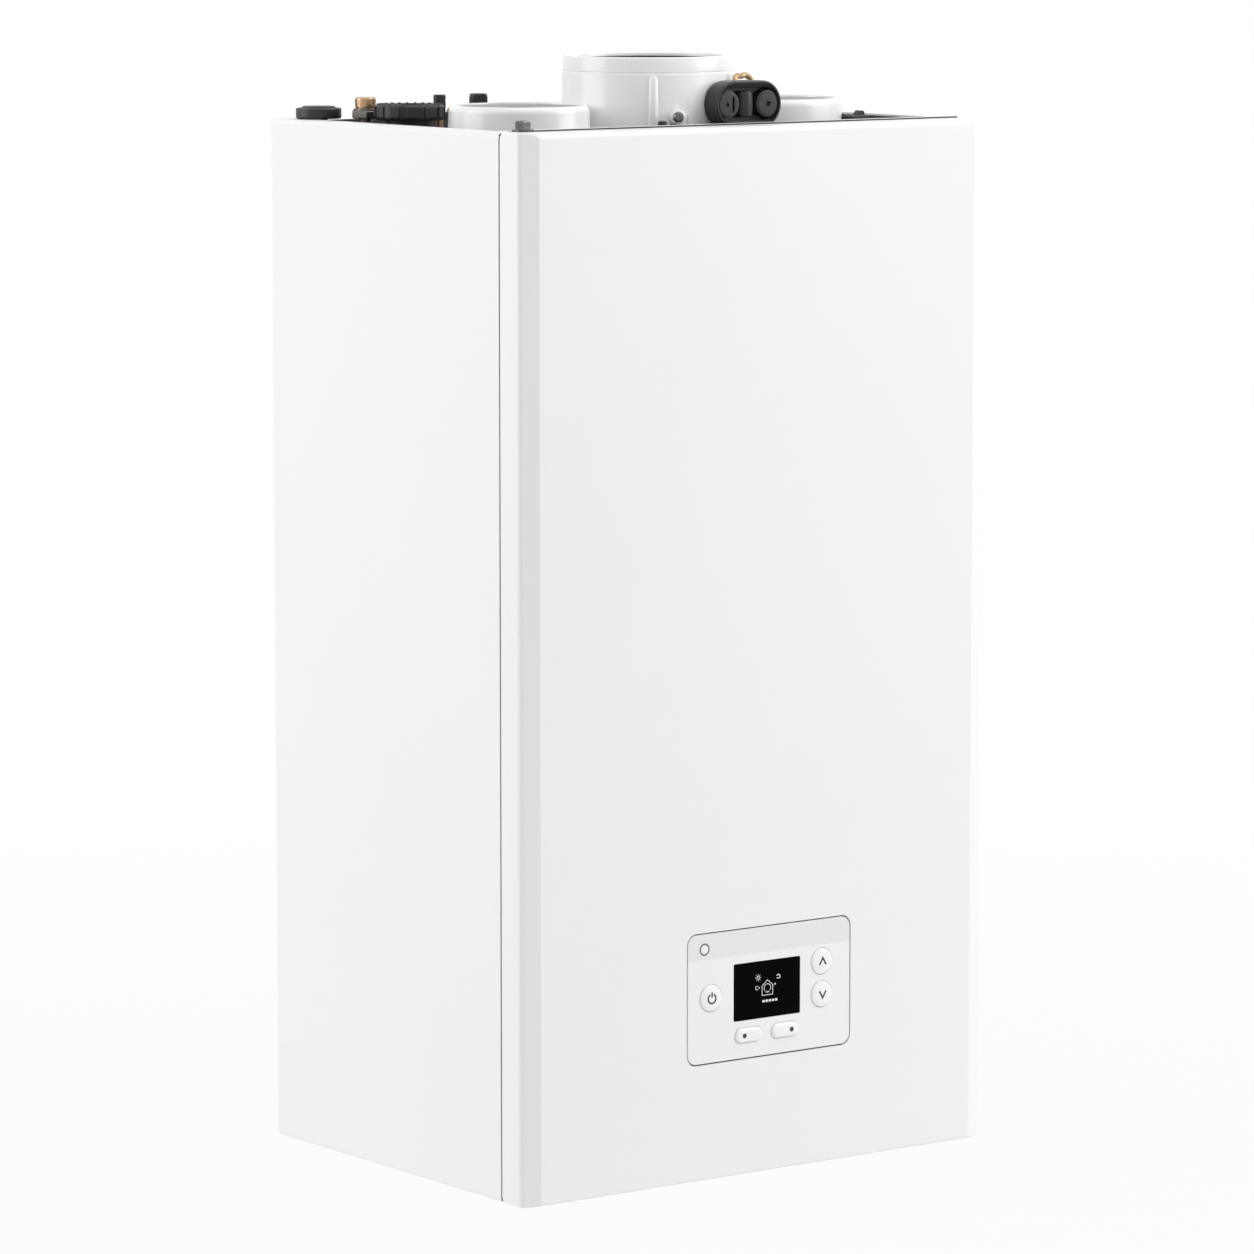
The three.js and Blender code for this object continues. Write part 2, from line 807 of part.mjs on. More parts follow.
// The tab that a cover screw bites into: it is open to the front, so that the screw leaves with the cover.
function screwTab(side) {
  const x = side * coverScrewX;
  const ys = [coverScrewY - tabReach, sideFrontY + past / 2];
  const tab = block(span(x, 2 * tabHalfWidth), ys, [bottomRise - sheet, bottomRise + sheet / 2]);
  const slot = block(span(x, 2 * (coverScrewRadius + holeFit)),
    [ys[0] - past, coverScrewY + coverScrewRadius + past], longer([bottomRise - sheet, bottomRise + sheet]));
  return tab.subtract(slot);
}

// The ear that holds one end of the control box's hinge pin.
function hingeEar(side) {
  const inner = fasciaX + side * (boxWidth / 2 + earGap);
  const xs = [inner, inner + side * earPlate];
  const upright = block(xs, span(pinY, 2 * earRadius), [bottomRise, pinZ]);
  const ear = upright.add(rod('x', earRadius, xs, [pinY, pinZ], facets.middle));
  return ear.subtract(drill('x', pinRadius, fit, [xs[0] - side, xs[1] + side], [pinY, pinZ], facets.small));
}

function bottomPlate() {
  const plate = block(longer([-insideX, insideX], -fit), [sideFrontY + sheet + fit, -sheet - fit],
    [bottomRise, bottomTop]);
  const lip = block([-railX, railX], [sideFrontY, sideFrontY + sheet], [sheet + fit, bottomLip]);
  const tie = block([-railX, railX], [sideFrontY, sideFrontY + sheet + fit + past], [bottomRise, bottomTop]);
  const hole = (x, y, radius) =>
    drill('z', radius, holeFit, longer([bottomRise, bottomTop]), [x, y], facets.thin);
  const holes = [
    hole(flowX, waterY, bigStub), hole(hotWaterX, waterY, smallStub), hole(coldWaterX, waterY, smallStub),
    hole(returnX, waterY, bigStub), hole(0, waterY, gasNipple), hole(0, flueY, drainRadius),
    hole(reliefX, reliefY, reliefRadius), hole(fillX, waterY, fillStem), hole(glandX, glandY, glandNeck),
  ];
  return cut(join(plate, lip, tie, ...bothSides.map(screwTab), ...bothSides.map(hingeEar)), ...holes);
}

// ---- Top ----

function topFrontRail() {
  const top = casingHeight;
  const section = outline([
    [sideFrontY, top - railFront], [sideFrontY + sheet, top - railFront], [sideFrontY + sheet, top - sheet],
    [railRearY - sheet, top - sheet], [railRearY - sheet, deckTop], [railRearY, deckTop],
    [railRearY, top, railBend], [sideFrontY, top],
  ]);
  const screwHole = drill('z', railScrewShank, holeFit, longer([top - sheet, top]), railScrewCentre,
    facets.small);
  return extrudedX(section, [-railX, railX]).subtract(screwHole);
}

function railScrew() {
  const top = casingHeight;
  const head = rod('z', railScrewHead, [top + fit, top + railScrewRise], railScrewCentre, 6);
  const shank = rod('z', railScrewShank, [top - railScrewLength, top + past], railScrewCentre);
  return head.add(shank);
}

function topDeck() {
  const ys = longer([railRearY, panelFrontY], -fit);
  const rim = casingHeight - deckRimDrop;
  const tray = block([-railX, railX], ys, [deckTop - sheet, rim]);
  const inner = block(longer([-railX, railX], -sheet), longer(ys, -sheet), [deckTop, rim + past]);
  const hole = (x, y, radius) => drill('z', radius, holeFit, longer([deckTop - sheet, deckTop]), [x, y]);
  const holes = [
    hole(0, flueY, collarBore), hole(-plugSpacing, flueY, plugSpigotRadius),
    hole(plugSpacing, flueY, plugSpigotRadius), hole(valveX, valveY, valveRadius),
    hole(ventX, ventY, ventNeck), hole(bungX, bungY, bungStem),
    hole(cornerBungX, cornerBungY, cornerBungStem),
  ];
  return cut(tray, inner, ...holes);
}

// An upright rib on the collar's outside, at an angle about its axis.
function collarRib({ degrees, width, rise }, top) {
  const foot = topFoot + past;
  const fin = new THREE.BoxGeometry(2 * ribRoot, width, top - foot);
  fin.translate(collarRadius + rise - ribRoot, 0, (top + foot) / 2);
  return solid(fin.rotateZ(THREE.MathUtils.degToRad(degrees)).translate(0, flueY, 0));
}

function flueCollar() {
  const body = turnedUpright([
    [collarBore, topFoot], [collarFootRadius, topFoot], [collarFootRadius, topFoot + collarFoot],
    [collarRadius, topFoot + collarFoot + 1], [collarRadius, collarGroove],
    [collarRimRadius, collarGroove + collarRimChamfer], [collarRimRadius, collarTop - collarRimChamfer],
    [collarRimRadius - collarRimChamfer, collarTop], [collarBore, collarTop], [collarBore, topFoot],
  ], [0, flueY], facets.collar);
  const bossYs = [bossY, bossY + bossDepth];
  const boss = join(
    rod('y', bossRadius, bossYs, [bossX, bossZ], facets.middle),
    block(span(bossX, 2 * bossRadius), bossYs, [topFoot + past, bossZ]),
  );
  const neckYs = [samplingBack + fit, flueY - samplingNeckDepth];
  const neck = extrudedY(
    stadium(samplingX, samplingZ, samplingWidth - samplingNeckStep, samplingHeight - samplingNeckStep), neckYs);
  const capBores = bothSides.map((side) =>
    drill('y', capStem, holeFit, longer(neckYs), capCentre(side), facets.small));
  const bore = rod('z', collarBore, longer([topFoot, collarTop]), [0, flueY], facets.collar);
  const screwHole = drill('y', collarScrewShank, fit, [bossY - past, bossY + collarScrewLength + past],
    [bossX, bossZ], facets.thin);
  const ribs = [collarRib(tallRib, collarGroove - past), collarRib(shortRib, topFoot + shortRib.height)];
  return cut(join(body, ...ribs, boss, neck), bore, ...capBores, screwHole);
}

function collarScrew() {
  const centre = [bossX, bossZ];
  const head = rod('y', collarScrewHead, [bossY - fit - collarScrewHeadDepth, bossY - fit], centre);
  return head.add(rod('y', collarScrewShank, [bossY - past, bossY + collarScrewLength], centre, facets.thin));
}

// The lip seal inside the collar's mouth, which closes on the outer flue pipe.
function outerFlueSeal() {
  const out = collarBore - ductFit;
  const top = collarTop - flueSealDrop;
  const foot = top - flueSealHeight;
  return turnedUpright([
    [out, foot], [out, top], [out - flueSealWall, top], [out - flueSealLip, top - flueSealLip],
    [out - flueSealWall, foot], [out, foot],
  ], [0, flueY], facets.collar);
}

function innerFlueDuct() {
  const bottom = exchangerZ + exchangerRadius + flueSeat;
  const top = casingHeight + flueRise;
  return turnedUpright([
    [flueBore, bottom], [flueRadius, bottom], [flueRadius, top], [flueBore, top], [flueBore, bottom],
  ], [0, flueY], facets.broad);
}

function airPlug(side) {
  const top = casingHeight + plugRise;
  const foot = topFoot - plugSpigotDrop;
  const r = plugRadius;
  const spigot = plugSpigotRadius;
  return turnedUpright([
    [0, top - plugDish], [plugRing - 2, top - plugDish], [plugRing, top], [r - 8, top], [r - 3, top - 1.6],
    [r - 0.6, top - 5], [r, top - 8], [r, topFoot], [spigot, topFoot], [spigot, foot],
    [spigot - plugWall, foot], [spigot - plugWall, top - plugDish - plugWall], [0, top - plugDish - plugWall],
  ], [side * plugSpacing, flueY], facets.broad);
}

function capCentre(side) {
  return [samplingX + (side * capSpacing) / 2, samplingZ];
}

function samplingHousing() {
  const body = extrudedY(
    stadium(samplingX, samplingZ, samplingWidth, samplingHeight), [samplingFront, samplingBack]);
  const well = extrudedY(
    stadium(samplingX, samplingZ, samplingWidth - 2 * samplingRim, samplingHeight - 2 * samplingLip),
    [samplingFront - past, samplingWellY]);
  const saddle = block(span(samplingX, saddleWidth), [samplingFront + saddleSetback, samplingWellY + past],
    span(samplingZ, saddleHeight));
  const bores = bothSides.map((side) =>
    drill('y', capStem, holeFit, [samplingFront, samplingBack + past], capCentre(side), facets.small));
  return cut(join(body.subtract(well), saddle), ...bores);
}

function samplingCap(side) {
  const face = samplingFront + capSetback;
  const seat = samplingWellY - fit;
  const end = samplingFront + capStemEnd;
  const head = turnedAlongY([
    [0, face], [capRadius - capChamfer, face], [capRadius, face + capChamfer], [capRadius, seat],
    [capStem, seat], [capStem - capStemTaper, end], [0, end],
  ], capCentre(side), 18);
  const [x, z] = capCentre(side);
  const slot = block(span(x, capSlotWidth), [face - past, face + capSlotDepth], span(z, capSlotHeight));
  const dimple = rod('y', capDimpleRadius, [face - past, face + capDimpleDepth], [x, z], facets.thin);
  return side < 0 ? head.subtract(slot) : head.subtract(dimple);
}

function chargeValve() {
  const centre = [valveX, valveY];
  const hexTop = casingHeight + valveHexRise;
  const top = casingHeight + valveRise;
  const hex = rod('z', valveHexRadius, [casingHeight + valveHexFoot, hexTop], centre, 6);
  const stem = turnedUpright([
    [0, vesselTop + fit], [valveStem, vesselTop + fit], [valveStem, hexTop - past],
    [valveRadius, hexTop - past], [valveRadius, top - valveChamfer], [valveRadius - valveChamfer, top], [0, top],
  ], centre);
  return hex.add(stem);
}

function autoAirVent() {
  const foot = vesselTop + ventLift;
  const shoulder = deckTop - sheet - fit;
  const top = casingHeight + ventNeckRise;
  return turnedUpright([
    [0, foot], [ventStem, foot], [ventStem, foot + ventStemHeight],
    [ventBody, foot + ventStemHeight + ventShoulder], [ventBody, shoulder], [ventNeck, shoulder],
    [ventNeck, top], [0, top],
  ], [ventX, ventY]);
}

function airVentCap() {
  const foot = casingHeight + ventNeckRise + fit;
  const top = casingHeight + ventCapRise;
  const knob = turnedUpright([
    [0, foot], [ventCapRadius, foot], [ventCapRadius, top - 1], [ventCapRadius - 1, top], [0, top],
  ], [ventX, ventY], facets.small);
  const slot = block(span(ventX, ventSlotWidth), span(ventY, 3 * ventCapRadius),
    [top - ventSlotDepth, top + past]);
  return knob.subtract(slot);
}

function largeBung() {
  const foot = casingHeight + bungFoot;
  const top = casingHeight + bungRise;
  const end = deckTop - bungPlugDrop;
  const body = turnedUpright([
    [0, end], [bungStem - bungStemTaper, end], [bungStem, end + bungStemTaper], [bungStem, foot],
    [bungRadius, foot], [bungRadius, top - 1], [bungRadius - 1, top], [bungRadius - bungRim, top],
    [bungRadius - bungRim - 0.5, top - bungDish], [0, top - bungDish],
  ], [bungX, bungY], facets.broad);
  const ring = bungRadius + 1;
  const notches = around(bungNotches, (angle) =>
    rod('z', bungNotchRadius, [foot + bungNotchFoot, top + past],
      [bungX + ring * Math.cos(angle), bungY + ring * Math.sin(angle)], 6));
  return cut(body, ...notches);
}

function cornerBung() {
  const foot = casingHeight + fit;
  const top = casingHeight + cornerBungRise;
  const end = deckTop - bungPlugDrop;
  return turnedUpright([
    [0, end], [cornerBungStem, end], [cornerBungStem, foot], [cornerBungRadius, foot],
    [cornerBungRadius, top - 1], [cornerBungRadius - 1, top], [cornerBungRadius - cornerBungRim, top],
    [cornerBungRadius - cornerBungRim - 0.5, top - cornerBungDish], [0, top - cornerBungDish],
  ], [cornerBungX, cornerBungY]);
}

// ---- Controls ----

function buttonHoles(margin, ys) {
  return [
    ...roundButtons.map(({ x, z, radius }) => rod('y', radius + margin, ys, [x, z], facets.middle)),
    ...softKeys.map(({ x, z }) => extrudedY(
      stadium(x, z, softKeyWidth + 2 * margin, softKeyHeight + 2 * margin), ys)),
  ];
}

function displayPane(margin, ys) {
  const xs = longer(span(displayX, displayWidth), margin);
  return extrudedY(roundedRectangle(xs, longer(span(displayZ, displayHeight), margin), displayCorner), ys);
}

function fascia() {
  const ys = [frontY, fasciaBackY];
  const plate = extrudedY(
    roundedRectangle(span(fasciaX, fasciaWidth), [fasciaBottom, fasciaTop], fasciaCorner), ys);
  return cut(plate, displayPane(fit, longer(ys)), ...buttonHoles(holeFit, longer(ys)));
}

function displayModule(margin, ys) {
  return block(longer(span(displayX, moduleWidth), margin), ys, longer(span(displayZ, moduleHeight), margin));
}

function controlBox() {
  const wall = [boxFrontY, boxFrontY + boxWall];
  const body = block([boxLeft, boxRight], [boxFrontY, boxBackY], [boxBottom, boxTop]);
  const hollow = block(longer([boxLeft, boxRight], -boxWall), [boxFrontY + boxWall, boxBackY + past],
    longer([boxBottom, boxTop], -boxWall));
  const openings = [displayModule(moduleMargin, longer(wall)), ...buttonHoles(holeFit, longer(wall))];
  const posts = longer([boardLeft, boardRight], -postInset).flatMap((x) =>
    longer([boardBottom, boardTop], -postInset).map((z) =>
      rod('y', postRadius, [boxFrontY + past, boardFrontY - fit], [x, z], facets.thin)));
  const lugs = [[boxLeft, boxLeft + lugWidth], [boxRight - lugWidth, boxRight]].map((xs) =>
    join(block(xs, span(pinY, 2 * lugRadius), [pinZ, boxBottom + past]),
      rod('x', lugRadius, xs, [pinY, pinZ], facets.middle)));
  const bore = drill('x', pinRadius, holeFit, longer([boxLeft, boxRight]), [pinY, pinZ], facets.small);
  return cut(join(cut(body, hollow, ...openings), ...posts, ...lugs), bore);
}

function controlBoxBack() {
  const front = boxBackY + fit;
  return block([boxLeft, boxRight], [front, front + boxBackPlate], [boxBottom, boxTop]);
}

function hingePin() {
  return rod('x', pinRadius, longer([boxLeft, boxRight], pinReach), [pinY, pinZ]);
}

function controlBoard() {
  const back = boardFrontY + boardPlate;
  const behind = (depth) => [back - past / 2, back + depth];
  const relayX = (i) => boardLeft + relays.inset + i * relays.pitch;
  const fromLeft = (inset, width) => [boardLeft + inset, boardLeft + inset + width];
  return join(
    block([boardLeft, boardRight], [boardFrontY, back], [boardBottom, boardTop]),
    displayModule(0, [fasciaBackY + moduleGap, boardFrontY + past / 2]),
    block(fromLeft(transformer.inset, transformer.width), behind(transformer.depth),
      span(transformer.z, transformer.height)),
    ...Array.from({ length: relays.count }, (_, i) =>
      block([relayX(i), relayX(i) + relays.width], behind(relays.depth), span(relays.z, relays.height))),
    block(longer([boardLeft, boardRight], -terminals.inset), behind(terminals.depth),
      span(terminals.z, terminals.height)),
    rod('y', capacitor.radius, behind(capacitor.depth), [boardRight - capacitor.inset, capacitor.z]),
  );
}

// A key's levels along Y: face, edge of the crown, front and back of its collar, end of its stem.
function keyLevels() {
  const collarFront = boxFrontY + boxWall + fit;
  return {
    face: frontY - buttonRise,
    shoulder: frontY - buttonRise + buttonCrown,
    collar: collarFront,
    back: collarFront + buttonCollarDepth,
    end: boardFrontY - buttonTravel - holeFit,
  };
}

function roundButton({ x, z, radius }) {
  const y = keyLevels();
  const collar = radius + buttonCollar;
  return turnedAlongY([
    [0, y.face], [radius - 3, y.face + 0.1], [radius - 0.8, y.shoulder - 0.4], [radius, y.shoulder],
    [radius, y.collar], [collar, y.collar], [collar, y.back], [buttonStem, y.back], [buttonStem, y.end],
    [0, y.end],
  ], [x, z]);
}

function softKey({ x, z }) {
  const y = keyLevels();
  const layer = (step, ys) => extrudedY(stadium(x, z, softKeyWidth + step, softKeyHeight + step), ys);
  return join(
    layer(-softKeyStep, [y.face, y.shoulder + past]),
    layer(0, [y.shoulder - past / 2, y.collar + past / 2]),
    layer(2 * buttonCollar, [y.collar, y.back]),
    rod('y', buttonStem, [y.back - past / 2, y.end], [x, z], facets.thin),
  );
}

function mainsGland() {
  const shoulder = bottomRise - fit;
  const nut = bottomTop + fit;
  return turnedUpright([
    [glandBore, glandFoot], [glandHead, glandFoot], [glandHead, shoulder], [glandNeck, shoulder],
    [glandNeck, nut], [glandNut, nut], [glandNut, nut + glandNutHeight], [glandBore, nut + glandNutHeight],
    [glandBore, glandFoot],
  ], [glandX, glandY], 14);
}

// ---- Combustion side ----

function heatExchangerShell() {
  const centre = [0, exchangerZ];
  const root = exchangerRadius - exchangerRoot;
  const body = rod('y', exchangerRadius, [exchangerFront, exchangerBack], centre, facets.large);
  const outletSpan = [exchangerZ + root, exchangerZ + exchangerRadius + outletRise];
  const drainSpan = [shelfZ - drainReach, exchangerZ - root];
  const outlet = rod('z', outletRadius, outletSpan, [0, flueY], facets.middle);
  const drain = rod('z', drainRadius, drainSpan, [0, flueY]);
  const ports = [[-1, flowPortZ], [1, returnPortZ]].map(([side, z]) =>
    rod('x', portRadius, [side * root, side * (exchangerRadius + portReach)], [portY, z]));
  const feet = bothSides.map((side) =>
    block([side * footX, side * (footX + footWidth)], longer([exchangerFront, exchangerBack], -footInset),
      [shelfZ + fit, exchangerZ]));
  const cavity = rod('y', exchangerRadius - exchangerWall,
    [exchangerFront - past, exchangerBack - exchangerWall], centre, facets.large);
  const outletBore = drill('z', flueRadius, ductFit, longer(outletSpan), [0, flueY]);
  const drainBore = rod('z', drainRadius - drainWall, longer(drainSpan), [0, flueY]);
  return cut(join(body, outlet, drain, ...ports, ...feet), cavity, outletBore, drainBore);
}

// The coil's centre line: a helix about the exchanger's axis, from its back to its front.
class CoilPath extends THREE.Curve {
  getPoint(t, target = new THREE.Vector3()) {
    const angle = t * coilTurns * Math.PI * 2;
    const start = exchangerBack - exchangerWall - fit - coilTubeHeight / 2;
    const y = start - t * coilTurns * coilPitch;
    return target.set(coilRadius * Math.cos(angle), y, exchangerZ + coilRadius * Math.sin(angle));
  }
}

// The flattened tube is swept as a ring of four corners, each held square to the exchanger's axis.
function heatExchangerCoil() {
  const path = new CoilPath();
  const rings = coilTurns * coilSteps;
  const corners = [[-1, -1], [1, -1], [1, 1], [-1, 1]];
  const points = [];
  for (let i = 0; i <= rings; i++) {
    const centre = path.getPoint(i / rings);
    const outward = new THREE.Vector3(centre.x, 0, centre.z - exchangerZ).normalize();
    for (const [u, v] of corners) {
      const corner = centre.clone().addScaledVector(outward, (u * coilTubeWidth) / 2);
      points.push(corner.x, corner.y + (v * coilTubeHeight) / 2, corner.z);
    }
  }
  const faces = [0, 1, 2, 0, 2, 3];
  for (let i = 0; i < rings; i++) {
    for (let k = 0; k < 4; k++) {
      const a = i * 4 + k;
      const b = i * 4 + ((k + 1) % 4);
      faces.push(a, a + 4, b, b, a + 4, b + 4);
    }
  }
  const end = rings * 4;
  faces.push(end, end + 2, end + 1, end, end + 3, end + 2);
  const geometry = new THREE.BufferGeometry();
  geometry.setAttribute('position', new THREE.Float32BufferAttribute(points, 3));
  geometry.setIndex(faces);
  return solid(geometry);
}

// The mixture duct's outline from the fan's mouth down to the door's centre, moved inward by the inset.
function ductOutline(inset, mouth) {
  const left = fanRightX - fanOutletWidth + inset;
  const right = fanRightX - inset;
  const reach = ductHalfWidth - inset;
  const turn = fanMouthZ - ductNeckDrop;
  return outline([
    [left, mouth], [left, turn], [-reach, exchangerZ + ductShoulder, 14],
    [-reach, exchangerZ - reach, 22], [reach, exchangerZ - reach, 22], [reach, exchangerZ + 40, 18],
    [right, turn - ductNeckDrop], [right, mouth],
  ]);
}

function burnerDoor() {
  const ys = [doorFrontY - ductDepth, doorFrontY];
  const centre = [0, exchangerZ];
  const disc = rod('y', exchangerRadius, [doorFrontY, exchangerFront - fit], centre, facets.large);
  const duct = extrudedY(ductOutline(0, fanMouthZ - fit), [ys[0], ys[1] + past]);
  const hollow = extrudedY(ductOutline(ductWall, fanMouthZ + past), longer(ys, -ductWall));
  const throat = rod('y', throatRadius, [ys[1] - ductWall - past, exchangerFront + past], centre, facets.broad);
  const electrodeHole = drill('y', electrodeRadius, holeFit, longer([doorFrontY, exchangerFront]),
    [0, exchangerZ - electrodeDrop], facets.small);
  return cut(join(disc, duct), hollow, throat, electrodeHole);
}

function burner() {
  const front = exchangerFront;
  const end = front + burnerLength;
  const bore = burnerRadius - burnerWall;
  const rim = burnerRadius + burnerFlange;
  return turnedAlongY([
    [bore, front], [rim, front], [rim, front + burnerWall], [burnerRadius, front + burnerWall],
    [burnerRadius, end], [0, end], [0, end - burnerWall], [bore, end - burnerWall], [bore, front],
  ], [0, exchangerZ]);
}

function ignitionElectrode() {
  const centre = [0, exchangerZ - electrodeDrop];
  const back = exchangerFront + electrodeBack;
  const body = rod('y', electrodeRadius, [doorFrontY - electrodeFront, back], centre);
  return body.add(rod('y', electrodeTip, [back - past, exchangerFront + electrodeReach], centre, facets.tiny));
}

function fanHousing() {
  const ys = [fanFrontY, doorFrontY];
  const inside = longer(ys, -ductWall);
  const venturiYs = [ys[0] - venturiDepth, ys[0]];
  const centre = [fanX, fanZ];
  const mouth = [fanRightX - fanOutletWidth, fanRightX];
  const body = join(
    rod('y', fanRadius, ys, centre, facets.broad),
    block(mouth, ys, [fanMouthZ, fanZ]),
    rod('y', venturiRadius, [venturiYs[0], ys[0] + past], centre, facets.middle),
    rod('x', gasInletRadius, [fanInletX, fanInletX + 10], [feedY, fanZ]),
  );
  const hollow = join(
    rod('y', fanRadius - ductWall, inside, centre, facets.broad),
    block(longer(mouth, -ductWall), inside, [fanMouthZ - past, fanZ]),
  );
  const inlet = rod('y', venturiRadius - venturiWall, [venturiYs[0] - past, inside[0] + past], centre,
    facets.middle);
  const shaftHole = rod('y', fanShaftHole, [inside[1] - past, ys[1] + past], centre);
  return cut(body, hollow, inlet, shaftHole);
}

function fanImpeller() {
  const back = doorFrontY - 2 * ductWall;
  const centre = [fanX, fanZ];
  const bladeSpan = [impellerHub - past, impellerRadius];
  const blades = around(impellerBlades, (angle) => {
    const blade = new THREE.BoxGeometry(bladeSpan[1] - bladeSpan[0], impellerDepth, impellerBladePlate);
    blade.translate((bladeSpan[0] + bladeSpan[1]) / 2, 0, 0).rotateY(angle);
    return solid(blade.translate(fanX, back - past - impellerDepth / 2, fanZ));
  });
  return join(
    rod('y', impellerRadius, [back - impellerPlate, back], centre, facets.broad),
    rod('y', impellerHub, [back - impellerPlate - impellerDepth, back - past / 2], centre),
    rod('y', fanShaft, [back - past, doorFrontY + fit + fanShaftDepth - past], centre, facets.thin),
    ...blades,
  );
}

function fanMotor() {
  const front = doorFrontY + fit;
  const centre = [fanX, fanZ];
  const body = rod('y', fanMotorRadius, [front, front + fanMotorDepth], centre, facets.broad);
  const shaftHole = drill('y', fanShaft, holeFit, [front - past, front + fanShaftDepth], centre, facets.thin);
  return body.subtract(shaftHole);
}

function gasValve() {
  const front = feedY - gasInletRadius;
  const top = gasValveZ + gasValveHeight;
  return join(
    block(span(gasX, gasValveWidth), [front, front + gasValveDepth], [gasValveZ, top]),
    rod('z', gasCoilRadius, [top - past, top + gasCoilHeight], [gasX, feedY + gasCoilY], facets.middle),
    rod('z', gasInletNut, [gasValveZ - gasInletDrop, gasValveZ + past], [gasX, feedY + gasInletY], 6),
    rod('z', gasBranchRadius, [top - past, fanZ + gasBranchRadius], [gasX, feedY]),
    rod('x', gasBranchRadius, [gasX - gasBranchRadius + past, fanInletX - fit], [feedY, fanZ]),
  );
}

function gasPipe() {
  const bore = gasPipeRadius - gasPipeWall;
  const riserY = waterY - gasPipeSetback;
  const valveInlet = [gasX, feedY + gasInletY];
  const run = pipe([
    [0, waterY, stubEnd + past], [0, waterY, gasPipeLow], [0, riserY, gasPipeLow],
    [0, riserY, gasPipeCrossing], [...valveInlet, gasPipeCrossing],
    [...valveInlet, gasValveZ - gasInletDrop - fit],
  ], gasPipeRadius, bore, gasPipeBend, gasPipeStep);
  const nipple = rod('z', gasNipple, [stubEnd, gasNippleTop], [0, waterY], 6);
  return cut(join(run, nipple), rod('z', bore, longer([stubEnd, gasNippleTop]), [0, waterY]));
}

// ---- Water side ----

function stub(x, y, radius, top) {
  return rod('z', radius, [stubEnd, top], [x, y], facets.thin);
}

function stubBore(x, y, radius) {
  return rod('z', radius, [stubEnd - past, stubBoreTop], [x, y], facets.thin);
}

function flowBlock() {
  const body = join(
    block([flowX - flowBlockMargin, flowBlockRight], [blockFront, blockBack], [blockBottom, blockTop]),
    stub(flowX, waterY, bigStub, blockBottom + past),
    stub(hotWaterX, waterY, smallStub, blockBottom + past),
    rod('z', portRadius, [blockTop - past, blockTop + blockPortRise], [flowX, waterY], facets.middle),
    rod('y', diverterNeck, [blockFront - diverterReach, blockFront + past], [diverterX, blockZ],
      facets.middle),
    rod('y', reliefNeck, [reliefFront, blockFront + past], [reliefX, blockZ], facets.middle),
    stub(reliefX, reliefY, reliefRadius, blockZ),
  );
  return cut(body, stubBore(flowX, waterY, bigStub - stubWall),
    stubBore(hotWaterX, waterY, smallStub - stubWall), stubBore(reliefX, reliefY, reliefRadius - reliefWall));
}

function reliefKnob() {
  const front = reliefFront - reliefKnobDepth;
  const knob = turnedAlongY([
    [0, front], [reliefKnobRadius - reliefKnobChamfer, front], [reliefKnobRadius, front + reliefKnobChamfer],
    [reliefKnobRadius, reliefFront - fit], [0, reliefFront - fit],
  ], [reliefX, blockZ]);
  const grips = around(reliefGrips, (angle) =>
    rod('y', reliefGripRadius, [front - past, reliefFront - reliefGripStop],
      [reliefX + reliefGripRing * Math.cos(angle), blockZ + reliefGripRing * Math.sin(angle)], facets.tiny));
  return cut(knob, ...grips);
}

function diverterMotor() {
  const back = blockFront - diverterReach - fit;
  const rear = back - diverterHead.gap;
  const body = block(span(diverterX, diverterHead.width), [rear - diverterHead.depth, rear],
    span(blockZ, diverterHead.height));
  return body.add(rod('y', diverterHead.neck, [rear - past, back], [diverterX, blockZ], facets.middle));
}

function returnBlock() {
  const centre = [pumpX, pumpZ];
  const outlet = [pumpOutletX, pumpOutletY];
  const outletTop = pumpZ + pumpOutletRise;
  const body = join(
    block([returnBlockLeft, returnX + flowBlockMargin], [blockFront, blockBack], [blockBottom, blockTop]),
    stub(coldWaterX, waterY, smallStub, blockBottom + past),
    stub(returnX, waterY, bigStub, blockBottom + past),
    rod('y', pumpNeckRadius, longer([pumpBack, blockFront], pumpFloor), [pumpX, pumpZ - pumpNeckDrop],
      facets.middle),
    rod('y', pumpRadius, [pumpFace, pumpBack], centre, facets.broad),
    rod('z', portRadius, [pumpZ, outletTop], outlet, facets.middle),
    rod('z', fillStem, [fillStemEnd, blockBottom + past], [fillX, waterY]),
  );
  const chamber = rod('y', pumpRadius - pumpWall, [pumpFace - past, pumpBack - pumpFloor], centre,
    facets.broad);
  const outletBore = rod('z', portRadius - drainWall, [pumpZ, outletTop + past], outlet);
  return cut(body, chamber, outletBore, stubBore(coldWaterX, waterY, smallStub - stubWall),
    stubBore(returnX, waterY, bigStub - stubWall));
}

function pumpImpeller() {
  const centre = [pumpX, pumpZ];
  const back = pumpFace + pumpImpellerSetback;
  const plateBack = back + pumpWall / 2;
  const blades = around(pumpBlades, (angle) => {
    const blade = new THREE.BoxGeometry(pumpBlade.length, pumpBlade.depth, pumpBlade.thickness);
    blade.translate(pumpBlade.centre, 0, 0).rotateY(angle);
    return solid(blade.translate(pumpX, back + past + pumpBlade.depth / 2, pumpZ));
  });
  return join(
    rod('y', pumpImpellerRadius, [back, plateBack], centre, facets.middle),
    rod('y', pumpImpellerHub, [back + past, plateBack + pumpBlade.depth + past], centre),
    rod('y', pumpShaft, [pumpFace - pumpShaftReach, back + past], centre, facets.thin),
    ...blades,
  );
}

